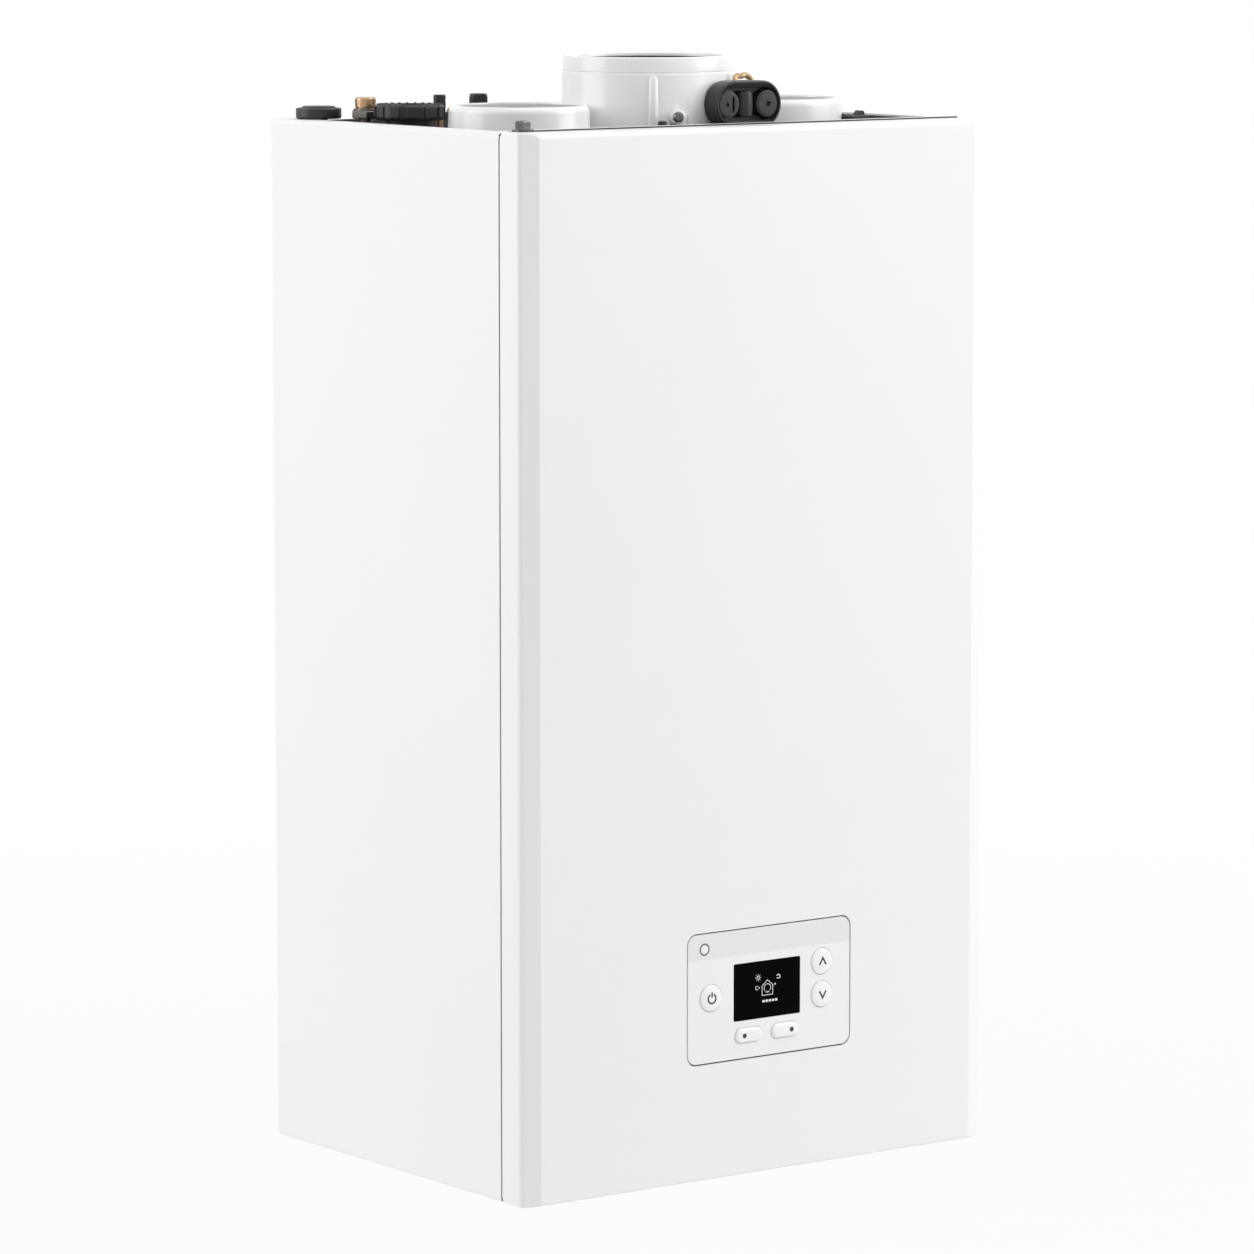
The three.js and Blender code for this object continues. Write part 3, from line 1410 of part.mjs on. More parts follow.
function pumpMotor() {
  const centre = [pumpX, pumpZ];
  const rear = pumpFace - fit;
  const front = pumpMotorFront;
  const flangeFront = rear - pumpMotorFlangeDepth;
  const body = turnedAlongY([
    [0, front], [pumpMotorRadius - 14, front], [pumpMotorRadius - 10, front + 4],
    [pumpMotorRadius - 2, front + 8], [pumpMotorRadius, front + 14], [pumpMotorRadius, flangeFront],
    [pumpMotorFlange, flangeFront],
    [pumpMotorFlange, rear], [0, rear],
  ], centre);
  const shaftHole = drill('y', pumpShaft, holeFit, [pumpFace - pumpShaftReach - 2, rear + past], centre,
    facets.thin);
  return body.subtract(shaftHole);
}

function plateHeatExchanger() {
  const levels = [blockTop + fit, plateExchangerTop];
  const xs = [-plateExchangerHalfWidth, plateExchangerHalfWidth];
  const core = block(xs, longer([blockFront, blockBack], -plateExchangerInset), levels);
  const ridgeLevels = [levels[0], levels[1] + plateRidges.rise];
  const ridges = Array.from({ length: plateRidges.count }, (_, i) => {
    const y = blockFront + plateRidges.first + i * plateRidges.pitch;
    return block(longer(xs, plateRidges.rise), span(y, plateRidges.width), ridgeLevels);
  });
  return join(core, ...ridges);
}

function flowPipe() {
  const x = -exchangerRadius - portReach - flowPipeGap;
  return pipe([
    [-portEnd, portY, flowPortZ], [x, portY, flowPortZ], [x, portY, flowPipeTurn.upper],
    [flowX, waterY, flowPipeTurn.lower], [flowX, waterY, blockTop + blockPortRise + fit],
  ], pipeRadius, pipeRadius - pipeWall, pipeBend.flow, pipeStep.flow);
}

function returnPipe() {
  const outlet = [pumpOutletX, pumpOutletY];
  return pipe([
    [...outlet, pumpZ + pumpOutletRise + fit], [...outlet, returnPipeTurn.lower],
    [pumpOutletX, portY, returnPipeTurn.upper], [pumpOutletX, portY, returnPortZ],
    [portEnd, portY, returnPortZ],
  ], pipeRadius, pipeRadius - pipeWall, pipeBend.return, pipeStep.return);
}

function expansionVessel() {
  const ys = [vesselBackY - vesselDepth, vesselBackY];
  const middle = (ys[0] + ys[1]) / 2;
  const xs = [-vesselHalfWidth, vesselHalfWidth];
  const face = roundedRectangle(xs, [vesselBottom, vesselTop], vesselCorner);
  const crimp = roundedRectangle(
    longer(xs, vesselCrimp), [vesselBottom - vesselCrimp, vesselTop], vesselCorner + 2);
  return join(
    extrudedY(face, ys),
    extrudedY(crimp, span(middle, vesselCrimpDepth)),
    rod('z', vesselHose, [blockTop + fit, vesselBottom + vesselCrimp], [vesselHoseX, middle], facets.thin),
  );
}

function condensateTrap() {
  const axis = [0, flueY];
  const neckTop = shelfZ - trapDrop;
  return join(
    rod('z', trapRadius, [bottomTop + fit, neckTop - trapNeck], axis, facets.middle),
    rod('z', trapNeckRadius, [neckTop - trapNeck - past, neckTop], axis, facets.middle),
    rod('z', trapInlet, [neckTop - past, shelfZ - drainReach - fit], axis),
    rod('z', drainRadius, [stubEnd, bottomTop + 2], axis, facets.middle),
  ).subtract(rod('z', drainRadius - trapWall, [stubEnd - past, trapBoreTop], axis));
}

function fillingTap() {
  const top = fillStemEnd - fit;
  const foot = top - fillTapHeight;
  const knob = rod('z', fillTapRadius, [foot, top], [fillX, waterY], facets.middle);
  const wings = block(span(fillX, fillTapWing.width), span(waterY, fillTapWing.length),
    [foot - fillTapWing.drop, foot + past]);
  return knob.add(wings);
}

part('wall_bracket', 'zincSteel', wallBracket());
part('rear_panel', 'zincSteel', rearPanel());
part('left_side_panel', 'whiteSteel', sidePanel(-1));
part('right_side_panel', 'whiteSteel', sidePanel(1));
part('front_cover', 'whiteSteel', frontCover());
part('cover_seal', 'rubber', coverSeal());
part('cover_screw_left', 'zincSteel', coverScrew(-1));
part('cover_screw_right', 'zincSteel', coverScrew(1));
part('bottom_plate', 'zincSteel', bottomPlate());
part('top_front_rail', 'whiteSteel', topFrontRail());
part('rail_screw', 'darkSteel', railScrew());
part('top_deck', 'darkSteel', topDeck());
part('flue_collar', 'whitePlastic', flueCollar());
part('collar_screw', 'stainless', collarScrew());
part('outer_flue_seal', 'rubber', outerFlueSeal());
part('inner_flue_duct', 'whitePlastic', innerFlueDuct());
part('left_air_plug', 'whitePlastic', airPlug(-1));
part('right_air_plug', 'whitePlastic', airPlug(1));
part('sampling_housing', 'blackPlastic', samplingHousing());
part('sampling_cap_left', 'blackPlastic', samplingCap(-1));
part('sampling_cap_right', 'blackPlastic', samplingCap(1));
part('charge_valve', 'brass', chargeValve());
part('auto_air_vent', 'brass', autoAirVent());
part('air_vent_cap', 'blackPlastic', airVentCap());
part('large_bung', 'rubber', largeBung());
part('corner_bung', 'rubber', cornerBung());
part('fascia', 'whitePlastic', fascia());
part('display_window', 'glass', displayPane(0, [frontY + displaySetback, fasciaBackY]));
roundButtons.forEach((button) => part(button.name, 'whitePlastic', roundButton(button)));
softKeys.forEach((key) => part(key.name, 'whitePlastic', softKey(key)));
part('control_box', 'greyPlastic', controlBox());
part('control_box_back', 'greyPlastic', controlBoxBack());
part('control_box_hinge_pin', 'stainless', hingePin());
part('control_board', 'board', controlBoard());
part('mains_gland', 'blackPlastic', mainsGland());
part('heat_exchanger_shell', 'blackPlastic', heatExchangerShell());
part('heat_exchanger_coil', 'stainless', heatExchangerCoil());
part('burner_door', 'aluminium', burnerDoor());
part('burner', 'stainless', burner());
part('ignition_electrode', 'ceramic', ignitionElectrode());
part('fan_housing', 'aluminium', fanHousing());
part('fan_impeller', 'aluminium', fanImpeller());
part('fan_motor', 'blackPlastic', fanMotor());
part('gas_valve', 'aluminium', gasValve());
part('gas_pipe', 'copper', gasPipe());
part('flow_block', 'greyPlastic', flowBlock());
part('relief_valve_knob', 'redPaint', reliefKnob());
part('diverter_motor', 'blackPlastic', diverterMotor());
part('return_block', 'greyPlastic', returnBlock());
part('pump_impeller', 'whitePlastic', pumpImpeller());
part('pump_motor', 'blackPlastic', pumpMotor());
part('plate_heat_exchanger', 'stainless', plateHeatExchanger());
part('flow_pipe', 'copper', flowPipe());
part('return_pipe', 'copper', returnPipe());
part('expansion_vessel', 'redPaint', expansionVessel());
part('condensate_trap', 'whitePlastic', condensateTrap());
part('filling_tap', 'blackPlastic', fillingTap());

export default boiler;
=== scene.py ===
"""A wall-hung combi boiler: its fine pieces and finishes, with the studio around it."""
import json
import math
from contextlib import contextmanager

import bmesh
import bpy
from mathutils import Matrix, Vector

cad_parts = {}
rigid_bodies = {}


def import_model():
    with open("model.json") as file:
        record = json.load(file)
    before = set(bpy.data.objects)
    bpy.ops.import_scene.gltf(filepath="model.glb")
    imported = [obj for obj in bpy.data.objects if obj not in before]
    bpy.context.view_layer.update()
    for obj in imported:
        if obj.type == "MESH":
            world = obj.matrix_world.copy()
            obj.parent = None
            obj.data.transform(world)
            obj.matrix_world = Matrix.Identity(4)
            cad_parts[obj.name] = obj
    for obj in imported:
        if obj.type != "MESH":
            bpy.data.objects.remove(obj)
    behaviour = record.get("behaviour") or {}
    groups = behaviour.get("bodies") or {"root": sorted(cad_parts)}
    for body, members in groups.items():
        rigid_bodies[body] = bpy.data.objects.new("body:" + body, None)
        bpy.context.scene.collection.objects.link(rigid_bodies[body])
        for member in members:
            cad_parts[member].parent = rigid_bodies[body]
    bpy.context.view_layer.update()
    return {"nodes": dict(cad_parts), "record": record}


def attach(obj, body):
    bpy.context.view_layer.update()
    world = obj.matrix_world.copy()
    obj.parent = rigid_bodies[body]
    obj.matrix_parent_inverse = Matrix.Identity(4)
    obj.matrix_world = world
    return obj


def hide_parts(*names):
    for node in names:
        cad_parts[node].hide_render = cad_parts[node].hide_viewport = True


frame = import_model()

# ---- Sizes in millimetres, with z measured from the casing's bottom edge ----
MM = 0.001
CASING_FOOT = -640
HALF = 194
HEIGHT = 700
FRONT = -294
COVER_REAR = -268.8
PANEL_FRONT = -267.3
SHEET = 1.2
FLANGE = 14
FLUE = (0, -167.3)
COLLAR = 58
COLLAR_BORE = 51
COLLAR_GROOVE = 733
COLLAR_TOP = 743.4
DECK = 688
TOP_FOOT = 688.3
PLUG_X = 106.4
BOSS = (-17.2, 704)
BOSS_FRONT = -229
BOSS_TURN = -28
BOSS_PIVOT = (-17.2, -223)
RAIL_SCREW = (-168.5, -258.65)
SAMPLING = (30, 712)
SAMPLING_FRONT = -240.5
CAPS = {"left": SAMPLING[0] - 16.2, "right": SAMPLING[0] + 16.2}

# Flat pieces on the front: left, right, low, high
FASCIA = (-60.8, 76, 79.1, 166.4)
DISPLAY = (-22.4, 33.4, 104.8, 143.2)
FASCIA_BAND = 149.3
FASCIA_RING = (-47, 156.2)
THROUGH_FRONT = (FRONT - 1, FRONT + 3)

# Buttons: x, z, radius. Keys: x, z and the x of their dot. Stubs: x, radius.
BUTTONS = {"power_button": (-41.8, 123, 9.15), "up_button": (51.8, 137.8, 9), "down_button": (51.8, 115.4, 9)}
KEYS = {"left_soft_key": (-10.2, 94.5, -14.4), "right_soft_key": (20.3, 94.5, 25.4)}
KEY_SIZE = (22.8, 10.2)
BUTTON_GAP = 0.25
BUTTON_FACE = -295.5
BUTTON_RIM = (-289, -288)
PLUNGER_END = -282.8
STUBS = ((-130, 13), (-65, 10.5), (65, 10.5), (130, 13))

SHARP = math.radians(32)


# ---- Outlines ----

def rounded(corners, closed=True, step=9):
    """Corners (u, v) or (u, v, radius) as a line of points, with an arc at each corner that has a radius."""
    line = []
    for i, (u, v, *rest) in enumerate(corners):
        here = Vector((u, v))
        if not rest or (not closed and i in (0, len(corners) - 1)):
            line.append(here)
            continue
        before = (Vector(corners[i - 1][:2]) - here).normalized()
        after = (Vector(corners[(i + 1) % len(corners)][:2]) - here).normalized()
        half = math.acos(max(-1, min(1, before.dot(after)))) / 2
        centre = here + (before + after).normalized() * rest[0] / math.sin(half)
        reach = rest[0] / math.tan(half)
        start = here + before * reach - centre
        end = here + after * reach - centre
        sweep = math.atan2(start.x * end.y - start.y * end.x, start.dot(end))
        count = max(2, math.ceil(abs(math.degrees(sweep)) / step))
        for k in range(count + 1):
            c, s = math.cos(sweep * k / count), math.sin(sweep * k / count)
            line.append(centre + Vector((start.x * c - start.y * s, start.x * s + start.y * c)))
    return line


def rectangle(u0, u1, v0, v1, radius):
    return rounded([(u0, v0, radius), (u1, v0, radius), (u1, v1, radius), (u0, v1, radius)])


def stadium(u, v, width, height, count=20):
    """Two half circles and the straight lines between them."""
    radius = min(width, height) / 2
    along, up = width / 2 - radius, height / 2 - radius
    first = -90 if along > up else 0
    ends = ((along, up, first), (-along, -up, first + 180))
    return [Vector(p) for a, b, start in ends for p in arc(u + a, v + b, radius, start, start + 180, count)]


def circle(u, v, radius, count=32):
    return [Vector(p) for p in arc(u, v, radius, 0, 360, count)[:-1]]


def inset(line, distance):
    """A counter-clockwise outline moved inward by a distance."""
    out = []
    for i, here in enumerate(line):
        back = here - line[i - 1]
        ahead = line[(i + 1) % len(line)] - here
        one = Vector((-back.y, back.x)).normalized()
        other = Vector((-ahead.y, ahead.x)).normalized()
        out.append(here + (one + other) * distance / (1 + one.dot(other)))
    return out


def stroke(points, width):
    """The outline of a pen stroke along an open line."""
    points = [Vector(p) for p in points]
    sides = []
    for i, here in enumerate(points):
        back = (here - points[i - 1]).normalized() if i else (points[1] - here).normalized()
        ahead = (points[i + 1] - here).normalized() if i + 1 < len(points) else back
        one, other = Vector((-back.y, back.x)), Vector((-ahead.y, ahead.x))
        sides.append((one + other) * width / 2 / (1 + one.dot(other)))
    return [p - s for p, s in zip(points, sides)] + [p + s for p, s in reversed(list(zip(points, sides)))]


def arc(u, v, radius, start, end, count=20):
    angles = [math.radians(start + (end - start) * k / count) for k in range(count + 1)]
    return [(u + radius * math.cos(a), v + radius * math.sin(a)) for a in angles]


def smoothed(points, rounds=3):
    """A line of points with its corners cut, so that it bends smoothly."""
    for _ in range(rounds):
        cutting = [points[0]]
        for a, b in zip(points, points[1:]):
            cutting.append(tuple(p * 0.75 + q * 0.25 for p, q in zip(a, b)))
            cutting.append(tuple(p * 0.25 + q * 0.75 for p, q in zip(a, b)))
        points = cutting + [points[-1]]
    return points


# ---- Shapes ----

AXES = {"x": lambda u, v, w: (w, u, v), "y": lambda u, v, w: (u, w, v), "z": lambda u, v, w: (u, v, w)}


class Shape:
    """Points in millimetres and the faces over them."""

    def __init__(self):
        self.points = []
        self.faces = []

    def ring(self, points):
        first = len(self.points)
        self.points.extend(points)
        return list(range(first, len(self.points)))

    def bridge(self, one, other):
        """The faces between two rings of one length, or between a ring and a single point."""
        count = max(len(one), len(other))
        for i in range(count):
            j = (i + 1) % count
            corners = [one[i % len(one)], one[j % len(one)], other[j % len(other)], other[i % len(other)]]
            self.faces.append(list(dict.fromkeys(corners)))

    def __add__(self, other):
        both = Shape()
        first = len(self.points)
        both.points = self.points + other.points
        both.faces = self.faces + [[i + first for i in face] for face in other.faces]
        return both

    def moved(self, move):
        """The shape with each of its points put through a function of x, y and z."""
        out = Shape()
        out.points = [move(*point) for point in self.points]
        out.faces = self.faces
        return out


def loft(rings, joined=False):
    shape = Shape()
    levels = [shape.ring(ring) for ring in rings]
    for one, other in zip(levels, levels[1:]):
        shape.bridge(one, other)
    if joined:
        shape.bridge(levels[-1], levels[0])
    else:
        shape.faces.extend(end for end in (levels[0], levels[-1]) if len(end) > 2)
    return shape


def turned(profile, centre, axis="z", steps=72, joined=False):
    """A turned piece. Its profile is a line of (radius, level) or (radius, level, rounding) corners."""
    rings = []
    for radius, level in rounded(profile, joined):
        points = [centre] if radius < 1e-6 else circle(*centre, radius, steps)
        rings.append([AXES[axis](*p, level) for p in points])
    return loft(rings, joined)


def slab(outline, span, axis, low_edge=0, high_edge=0, hold=0.4):
    """A plate with an outline. A narrow ring beside each rounded rim keeps its flat faces shaded flat."""
    area = sum(a.x * b.y - a.y * b.x for a, b in zip(outline, outline[1:] + outline[:1]))
    line = outline if area > 0 else outline[::-1]

    def rim(level, radius, inward):
        if not radius:
            return [(0, level)]
        arcs = [(aside, level + inward * rise) for rise, aside in bend(radius, 5)]
        room = abs(span[1] - span[0]) > 2 * (radius + hold) + low_edge + high_edge
        return [(radius + hold, level)] + arcs + ([(0, level + inward * (radius + hold))] if room else [])

    low, high = sorted(span)
    steps = rim(low, low_edge, 1) + rim(high, high_edge, -1)[::-1]
    return loft([[AXES[axis](*p, level) for p in inset(line, distance)] for distance, level in steps])


def spun(shape, centre, degrees):
    """The shape turned about an upright line through its centre (x, y)."""
    c, s = math.cos(math.radians(degrees)), math.sin(math.radians(degrees))
    u, v = centre
    return shape.moved(lambda x, y, z: (u + (x - u) * c - (y - v) * s, v + (x - u) * s + (y - v) * c, z))


def frame_of(outline, width, span, axis):
    """An outline drawn as a raised line of one width."""
    inner = inset(outline, width)
    low, high = span
    lines = ((outline, low), (outline, high), (inner, high), (inner, low))
    return loft([[AXES[axis](*p, level) for p in line] for line, level in lines], joined=True)


def block(xs, ys, zs, edge=0.4):
    return slab(rectangle(*xs, *zs, edge + 0.2), ys, "y", edge, edge, 0.1)


def corner_ring(u0, u1, v0, v1, radius, hold=0.6, steps=4):
    line = []
    corners = ((u1 - radius, v0 + radius, -90), (u1 - radius, v1 - radius, 0),
               (u0 + radius, v1 - radius, 90), (u0 + radius, v0 + radius, 180))
    for u, v, start in corners:
        points = arc(u, v, radius, start, start + 90, steps)
        (first_u, first_v), (last_u, last_v) = points[0], points[-1]
        c, s = math.cos(math.radians(start)), math.sin(math.radians(start))
        line.append((first_u + hold * s, first_v - hold * c))
        line.extend([*points, (last_u - hold * c, last_v - hold * s)])
    return line


def bend(radius, count=6):
    """A rounded edge from the wall to the face, as (inset, setback) points."""
    return [(radius - u, radius - v) for u, v in arc(0, 0, radius, 0, 90, count)]


def tray(axis, box, rim, face, edges, corner=0.8, sheet=SHEET, hold=0.6):
    """A pressed sheet tray, open at its rim. Each of its four edges runs from wall to face in its own way."""
    outward = 1 if face > rim else -1
    depth = abs(face - rim)
    deepest = max(setback for edge in edges for _, setback in edge)
    setbacks = sorted({round(setback, 4) for edge in edges for _, setback in edge} | {deepest + hold, depth})

    def reach(edge, setback):
        for (near, top), (far, foot) in zip(edge, edge[1:]):
            if foot <= setback <= top:
                return near + (far - near) * (top - setback) / (top - foot or 1)
        return 0

    def ring(setback, shift, extra=0):
        left, right, bottom, top = (reach(edge, setback) + shift + extra for edge in edges)
        u0, u1, v0, v1 = box
        line = corner_ring(u0 + left, u1 - right, v0 + bottom, v1 - top, max(corner - shift, 0.3))
        return [AXES[axis](*p, face - outward * (setback + shift)) for p in line]

    outer = [ring(0, 0, hold)] + [ring(s, 0) for s in setbacks]
    inner = [ring(s, sheet) for s in setbacks if s + sheet < depth - 0.01]
    last = ring(depth - sheet, sheet)
    return loft(outer + [last] + inner[::-1] + [ring(0, sheet, hold)])


def tube(points, radius, sides=16):
    """A round rod along a line of points, with closed ends."""
    points = [Vector(p) for p in points]
    rings = []
    normal = None
    for i, here in enumerate(points):
        ahead = (points[min(i + 1, len(points) - 1)] - points[max(i - 1, 0)]).normalized()
        if normal is None:
            normal = ahead.orthogonal().normalized()
        normal = (normal - ahead * normal.dot(ahead)).normalized()
        side = ahead.cross(normal)
        rings.append([here + normal * p.x + side * p.y for p in circle(0, 0, radius, sides)])
    return loft(rings)


# ---- From shapes to pieces ----

@contextmanager
def editing(mesh):
    """The mesh as a bmesh, which is written back at the end."""
    work = bmesh.new()
    work.from_mesh(mesh)
    yield work
    work.to_mesh(mesh)
    work.free()


def linked(name, data):
    thing = bpy.data.objects.new(name, data)
    bpy.context.collection.objects.link(thing)
    return thing


def shaded(mesh):
    """Smooth shading, broken at the sharp edges."""
    mesh.shade_smooth()
    mesh.set_sharp_from_angle(angle=SHARP)


def solid(name, shape):
    mesh = bpy.data.meshes.new(name)
    points = [(x * MM, y * MM, (z + CASING_FOOT) * MM) for x, y, z in shape.points]
    mesh.from_pydata(points, [], shape.faces)
    with editing(mesh) as work:
        bmesh.ops.remove_doubles(work, verts=work.verts, dist=1e-7)
        bmesh.ops.recalc_face_normals(work, faces=work.faces)
    return linked(name, mesh)


def settle(piece):
    """The piece's modifiers become its mesh."""
    graph = bpy.context.evaluated_depsgraph_get()
    mesh = bpy.data.meshes.new_from_object(
        piece.evaluated_get(graph), preserve_all_data_layers=True, depsgraph=graph)
    piece.modifiers.clear()
    piece.data = mesh
    return piece


def joined_by(piece, operation, others):
    """Joins or cuts solids. Their faces are made triangles first, since a face with a hole can't be kept."""
    for part in (piece, *others):
        with editing(part.data) as work:
            bmesh.ops.triangulate(work, faces=work.faces)
    for other in others:
        modifier = piece.modifiers.new(operation.lower(), "BOOLEAN")
        modifier.operation = operation
        modifier.solver = "MANIFOLD"
        modifier.object = other
    settle(piece)
    for other in others:
        bpy.data.objects.remove(other)
    return piece


def cut(piece, *shapes):
    return joined_by(piece, "DIFFERENCE", [solid("cutter", shape) for shape in shapes])


def weld(piece, *shapes):
    return joined_by(piece, "UNION", [solid("addition", shape) for shape in shapes])


def fitted(piece, finish, *nodes, body="casing", slot=None, smooth=True):
    """Shades, paints and mounts a piece, and lets it stand for its CAD nodes."""
    mesh = piece.data
    if smooth:
        shaded(mesh)
    mesh.materials.clear()
    mesh.materials.append(FINISHES[finish].material)
    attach(piece, body)
    if nodes:
        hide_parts(*nodes)
    return piece


def made(name, shape, finish, *nodes, **how):
    return fitted(solid(name, shape), finish, *nodes, **how)


def refined(node, edge):
    """A copy of a CAD node with its points merged, its sharp edges eased and its round faces smooth."""
    source = frame["nodes"][node]
    mesh = source.data.copy()
    with editing(mesh) as work:
        bmesh.ops.remove_doubles(work, verts=work.verts, dist=1e-6)
        bmesh.ops.dissolve_limit(work, angle_limit=math.radians(1), verts=work.verts, edges=work.edges)
    shaded(mesh)
    piece = linked(f"{node}_fine", mesh)
    easing = piece.modifiers.new("easing", "BEVEL")
    easing.limit_method = "ANGLE"
    easing.angle_limit = SHARP
    easing.width = edge * MM
    easing.segments = 2
    easing.harden_normals = True
    settle(piece)
    slot = source.material_slots[0].material.name.split(".")[0]
    return fitted(piece, slot, node, body=BODY_OF[node], smooth=False)


BODY_OF = {node: body for body, nodes in frame["record"]["behaviour"]["bodies"].items() for node in nodes}


# ---- Nodes ----

class Value:
    """A socket that takes part in sums."""

    def __init__(self, nodes, socket):
        self.nodes = nodes
        self.socket = socket

    def maths(self, operation, *terms):
        node = self.nodes.add("ShaderNodeMath", {"operation": operation}, dict(enumerate(terms)))
        return Value(self.nodes, node.outputs[0])

    def __add__(self, other):
        return self.maths("ADD", self, other)

    def __radd__(self, other):
        return self.maths("ADD", other, self)

    def __mul__(self, other):
        return self.maths("MULTIPLY", self, other)

    def __rmul__(self, other):
        return self.maths("MULTIPLY", other, self)

    def __truediv__(self, other):
        return self.maths("DIVIDE", self, other)

    def __rtruediv__(self, other):
        return self.maths("DIVIDE", other, self)

    def most(self, other):
        return self.maths("MAXIMUM", self, other)

    def band(self, low, high):
        """0 below low, 1 above high and a smooth rise between."""
        inputs = {"Value": self, "From Min": low, "From Max": high}
        node = self.nodes.add("ShaderNodeMapRange", {"interpolation_type": "SMOOTHSTEP"}, inputs)
        return Value(self.nodes, node.outputs[0])


class Nodes:
    """A node tree in the making."""

    def __init__(self, tree):
        self.tree = tree

    def add(self, kind, settings=None, inputs=None):
        node = self.tree.nodes.new(kind)
        for name, value in (settings or {}).items():
            setattr(node, name, value)
        for key, value in (inputs or {}).items():
            self.plug(node.inputs[key], value)
        return node

    def plug(self, socket, value):
        value = value.socket if isinstance(value, Value) else value
        if isinstance(value, bpy.types.NodeSocket):
            self.tree.links.new(value, socket)
        else:
            socket.default_value = value


class Finish(Nodes):
    """A material. Its uniform values are set on the shader, and its patterns follow Object coordinates."""

    def __init__(self, name, **values):
        self.material = bpy.data.materials.new(name)
        self.material.use_nodes = True
        super().__init__(self.material.node_tree)
        self.shader = self.tree.nodes["Principled BSDF"]
        for key, value in values.items():
            self.set(key.replace("_", " ").title(), value)
        self.place = self.add("ShaderNodeTexCoord").outputs["Object"]

    def set(self, name, value):
        self.plug(self.shader.inputs[name.replace("Ior", "IOR")], value)

    def stretched(self, scale):
        return self.add("ShaderNodeMapping", inputs={"Vector": self.place, "Scale": scale}).outputs[0]

    def noise(self, scale, detail=2.0, where=None):
        inputs = {"Vector": where or self.place, "Scale": scale, "Detail": detail}
        return Value(self, self.add("ShaderNodeTexNoise", inputs=inputs).outputs[0])

    def cells(self, scale, output="Distance"):
        inputs = {"Vector": self.place, "Scale": scale}
        return Value(self, self.add("ShaderNodeTexVoronoi", inputs=inputs).outputs[output])

    def level(self, axis):
        return Value(self, self.add("ShaderNodeSeparateXYZ", inputs={0: self.place}).outputs[axis])

    def mixed(self, factor, one, other):
        inputs = {0: factor, 6: (*one, 1), 7: (*other, 1)}
        return self.add("ShaderNodeMix", {"data_type": "RGBA"}, inputs).outputs[2]

    def vary(self, factor, colour, darkest, lightest):
        """A base colour that runs between two shares of itself."""
        ends = [tuple(min(1, c * share) for c in colour) for share in (darkest, lightest)]
        self.set("Base Color", self.mixed(factor, *ends))

    def relief(self, height, depth, strength):
        inputs = {"Height": height, "Distance": depth * MM, "Strength": strength}
        self.set("Normal", self.add("ShaderNodeBump", inputs=inputs).outputs[0])


def moulding(name, colour, rough, grain=900, relief=0.02, variation=0.06, **values):
    """Moulded plastic: a slight cloud in its colour, an uneven gloss and a fine grain."""
    finish = Finish(name, **values)
    finish.vary(finish.noise(14, 3), colour, 1 - variation, 1 + variation)
    finish.set("Roughness", finish.noise(55, 3) * 0.1 + (rough - 0.05))
    finish.relief(finish.noise(grain, 2), relief, 0.5)
    return finish


def sheet_metal(name, colour, rough, along=(1, 1, 1), streak=0.12, **values):
    """Bare or plated metal, with faint streaks along its drawing direction."""
    finish = Finish(name, Metallic=1.0, **values)
    streaks = finish.noise(180, 3, finish.stretched(along))
    finish.vary(streaks, colour, 1 - streak, 1 + streak)
    finish.set("Roughness", streaks * 0.18 + (rough - 0.09))
    finish.relief(streaks, 0.01, 0.4)
    return finish


def powder_coat(name, colour, rough, peel=0.012):
    """Powder coat: an orange-peel surface with a hardly visible cloud."""
    finish = Finish(name)
    finish.vary(finish.noise(5, 2), colour, 0.985, 1.01)
    finish.set("Roughness", finish.noise(30, 3) * 0.06 + (rough - 0.03))
    finish.relief(finish.noise(700, 1), peel, 0.35)
    return finish


def zinc(name, colour):
    """Zinc plate, with its crystal pattern."""
    finish = Finish(name, Metallic=1.0)
    crystals = finish.cells(90, "Color")
    tone = Value(finish, finish.add("ShaderNodeSeparateColor", inputs={0: crystals}).outputs[0])
    finish.vary(tone, colour, 0.86, 1.14)
    finish.set("Roughness", tone * 0.14 + 0.3)
    finish.relief(finish.noise(600, 2), 0.01, 0.4)
    return finish


def fascia_moulding():
    """White satin moulding, with a slightly greyer band across its top."""
    finish = Finish("fascia_moulding")
    edge = (FASCIA_BAND + CASING_FOOT) * MM
    upper = finish.level("Z").band(edge - 0.15 * MM, edge + 0.15 * MM)
    finish.set("Base Color", finish.mixed(upper, (0.845, 0.85, 0.858), (0.77, 0.778, 0.79)))
    finish.set("Roughness", finish.noise(60, 3) * 0.06 + 0.3)
    finish.relief(finish.noise(1100, 2), 0.006, 0.4)
    return finish


def display_glass():
    finish = Finish("display_glass", Specular_Ior_Level=0.02)
    smudge = finish.noise(40, 4)
    finish.set("Base Color", finish.mixed(smudge, (0.0008, 0.0008, 0.0009), (0.002, 0.002, 0.0022)))
    finish.set("Roughness", smudge * 0.05 + 0.06)
    return finish


def board_lacquer():
    """Green board with its copper tracks showing faintly through the lacquer."""
    finish = Finish("board_lacquer")
    tracks = finish.cells(260).band(0.42, 0.5)
    finish.set("Base Color", finish.mixed(tracks, (0.02, 0.10, 0.045), (0.045, 0.2, 0.09)))
    finish.set("Roughness", finish.noise(120, 2) * 0.15 + 0.3)
    finish.relief(tracks, 0.05, 0.4)
    return finish


def lit_print():
    finish = Finish("lit_print", Roughness=0.5)
    glow = finish.mixed(finish.noise(900, 2), (0.52, 0.54, 0.56), (0.62, 0.64, 0.66))
    finish.set("Base Color", glow)
    finish.set("Emission Color", glow)
    finish.set("Emission Strength", 0.35)
    return finish


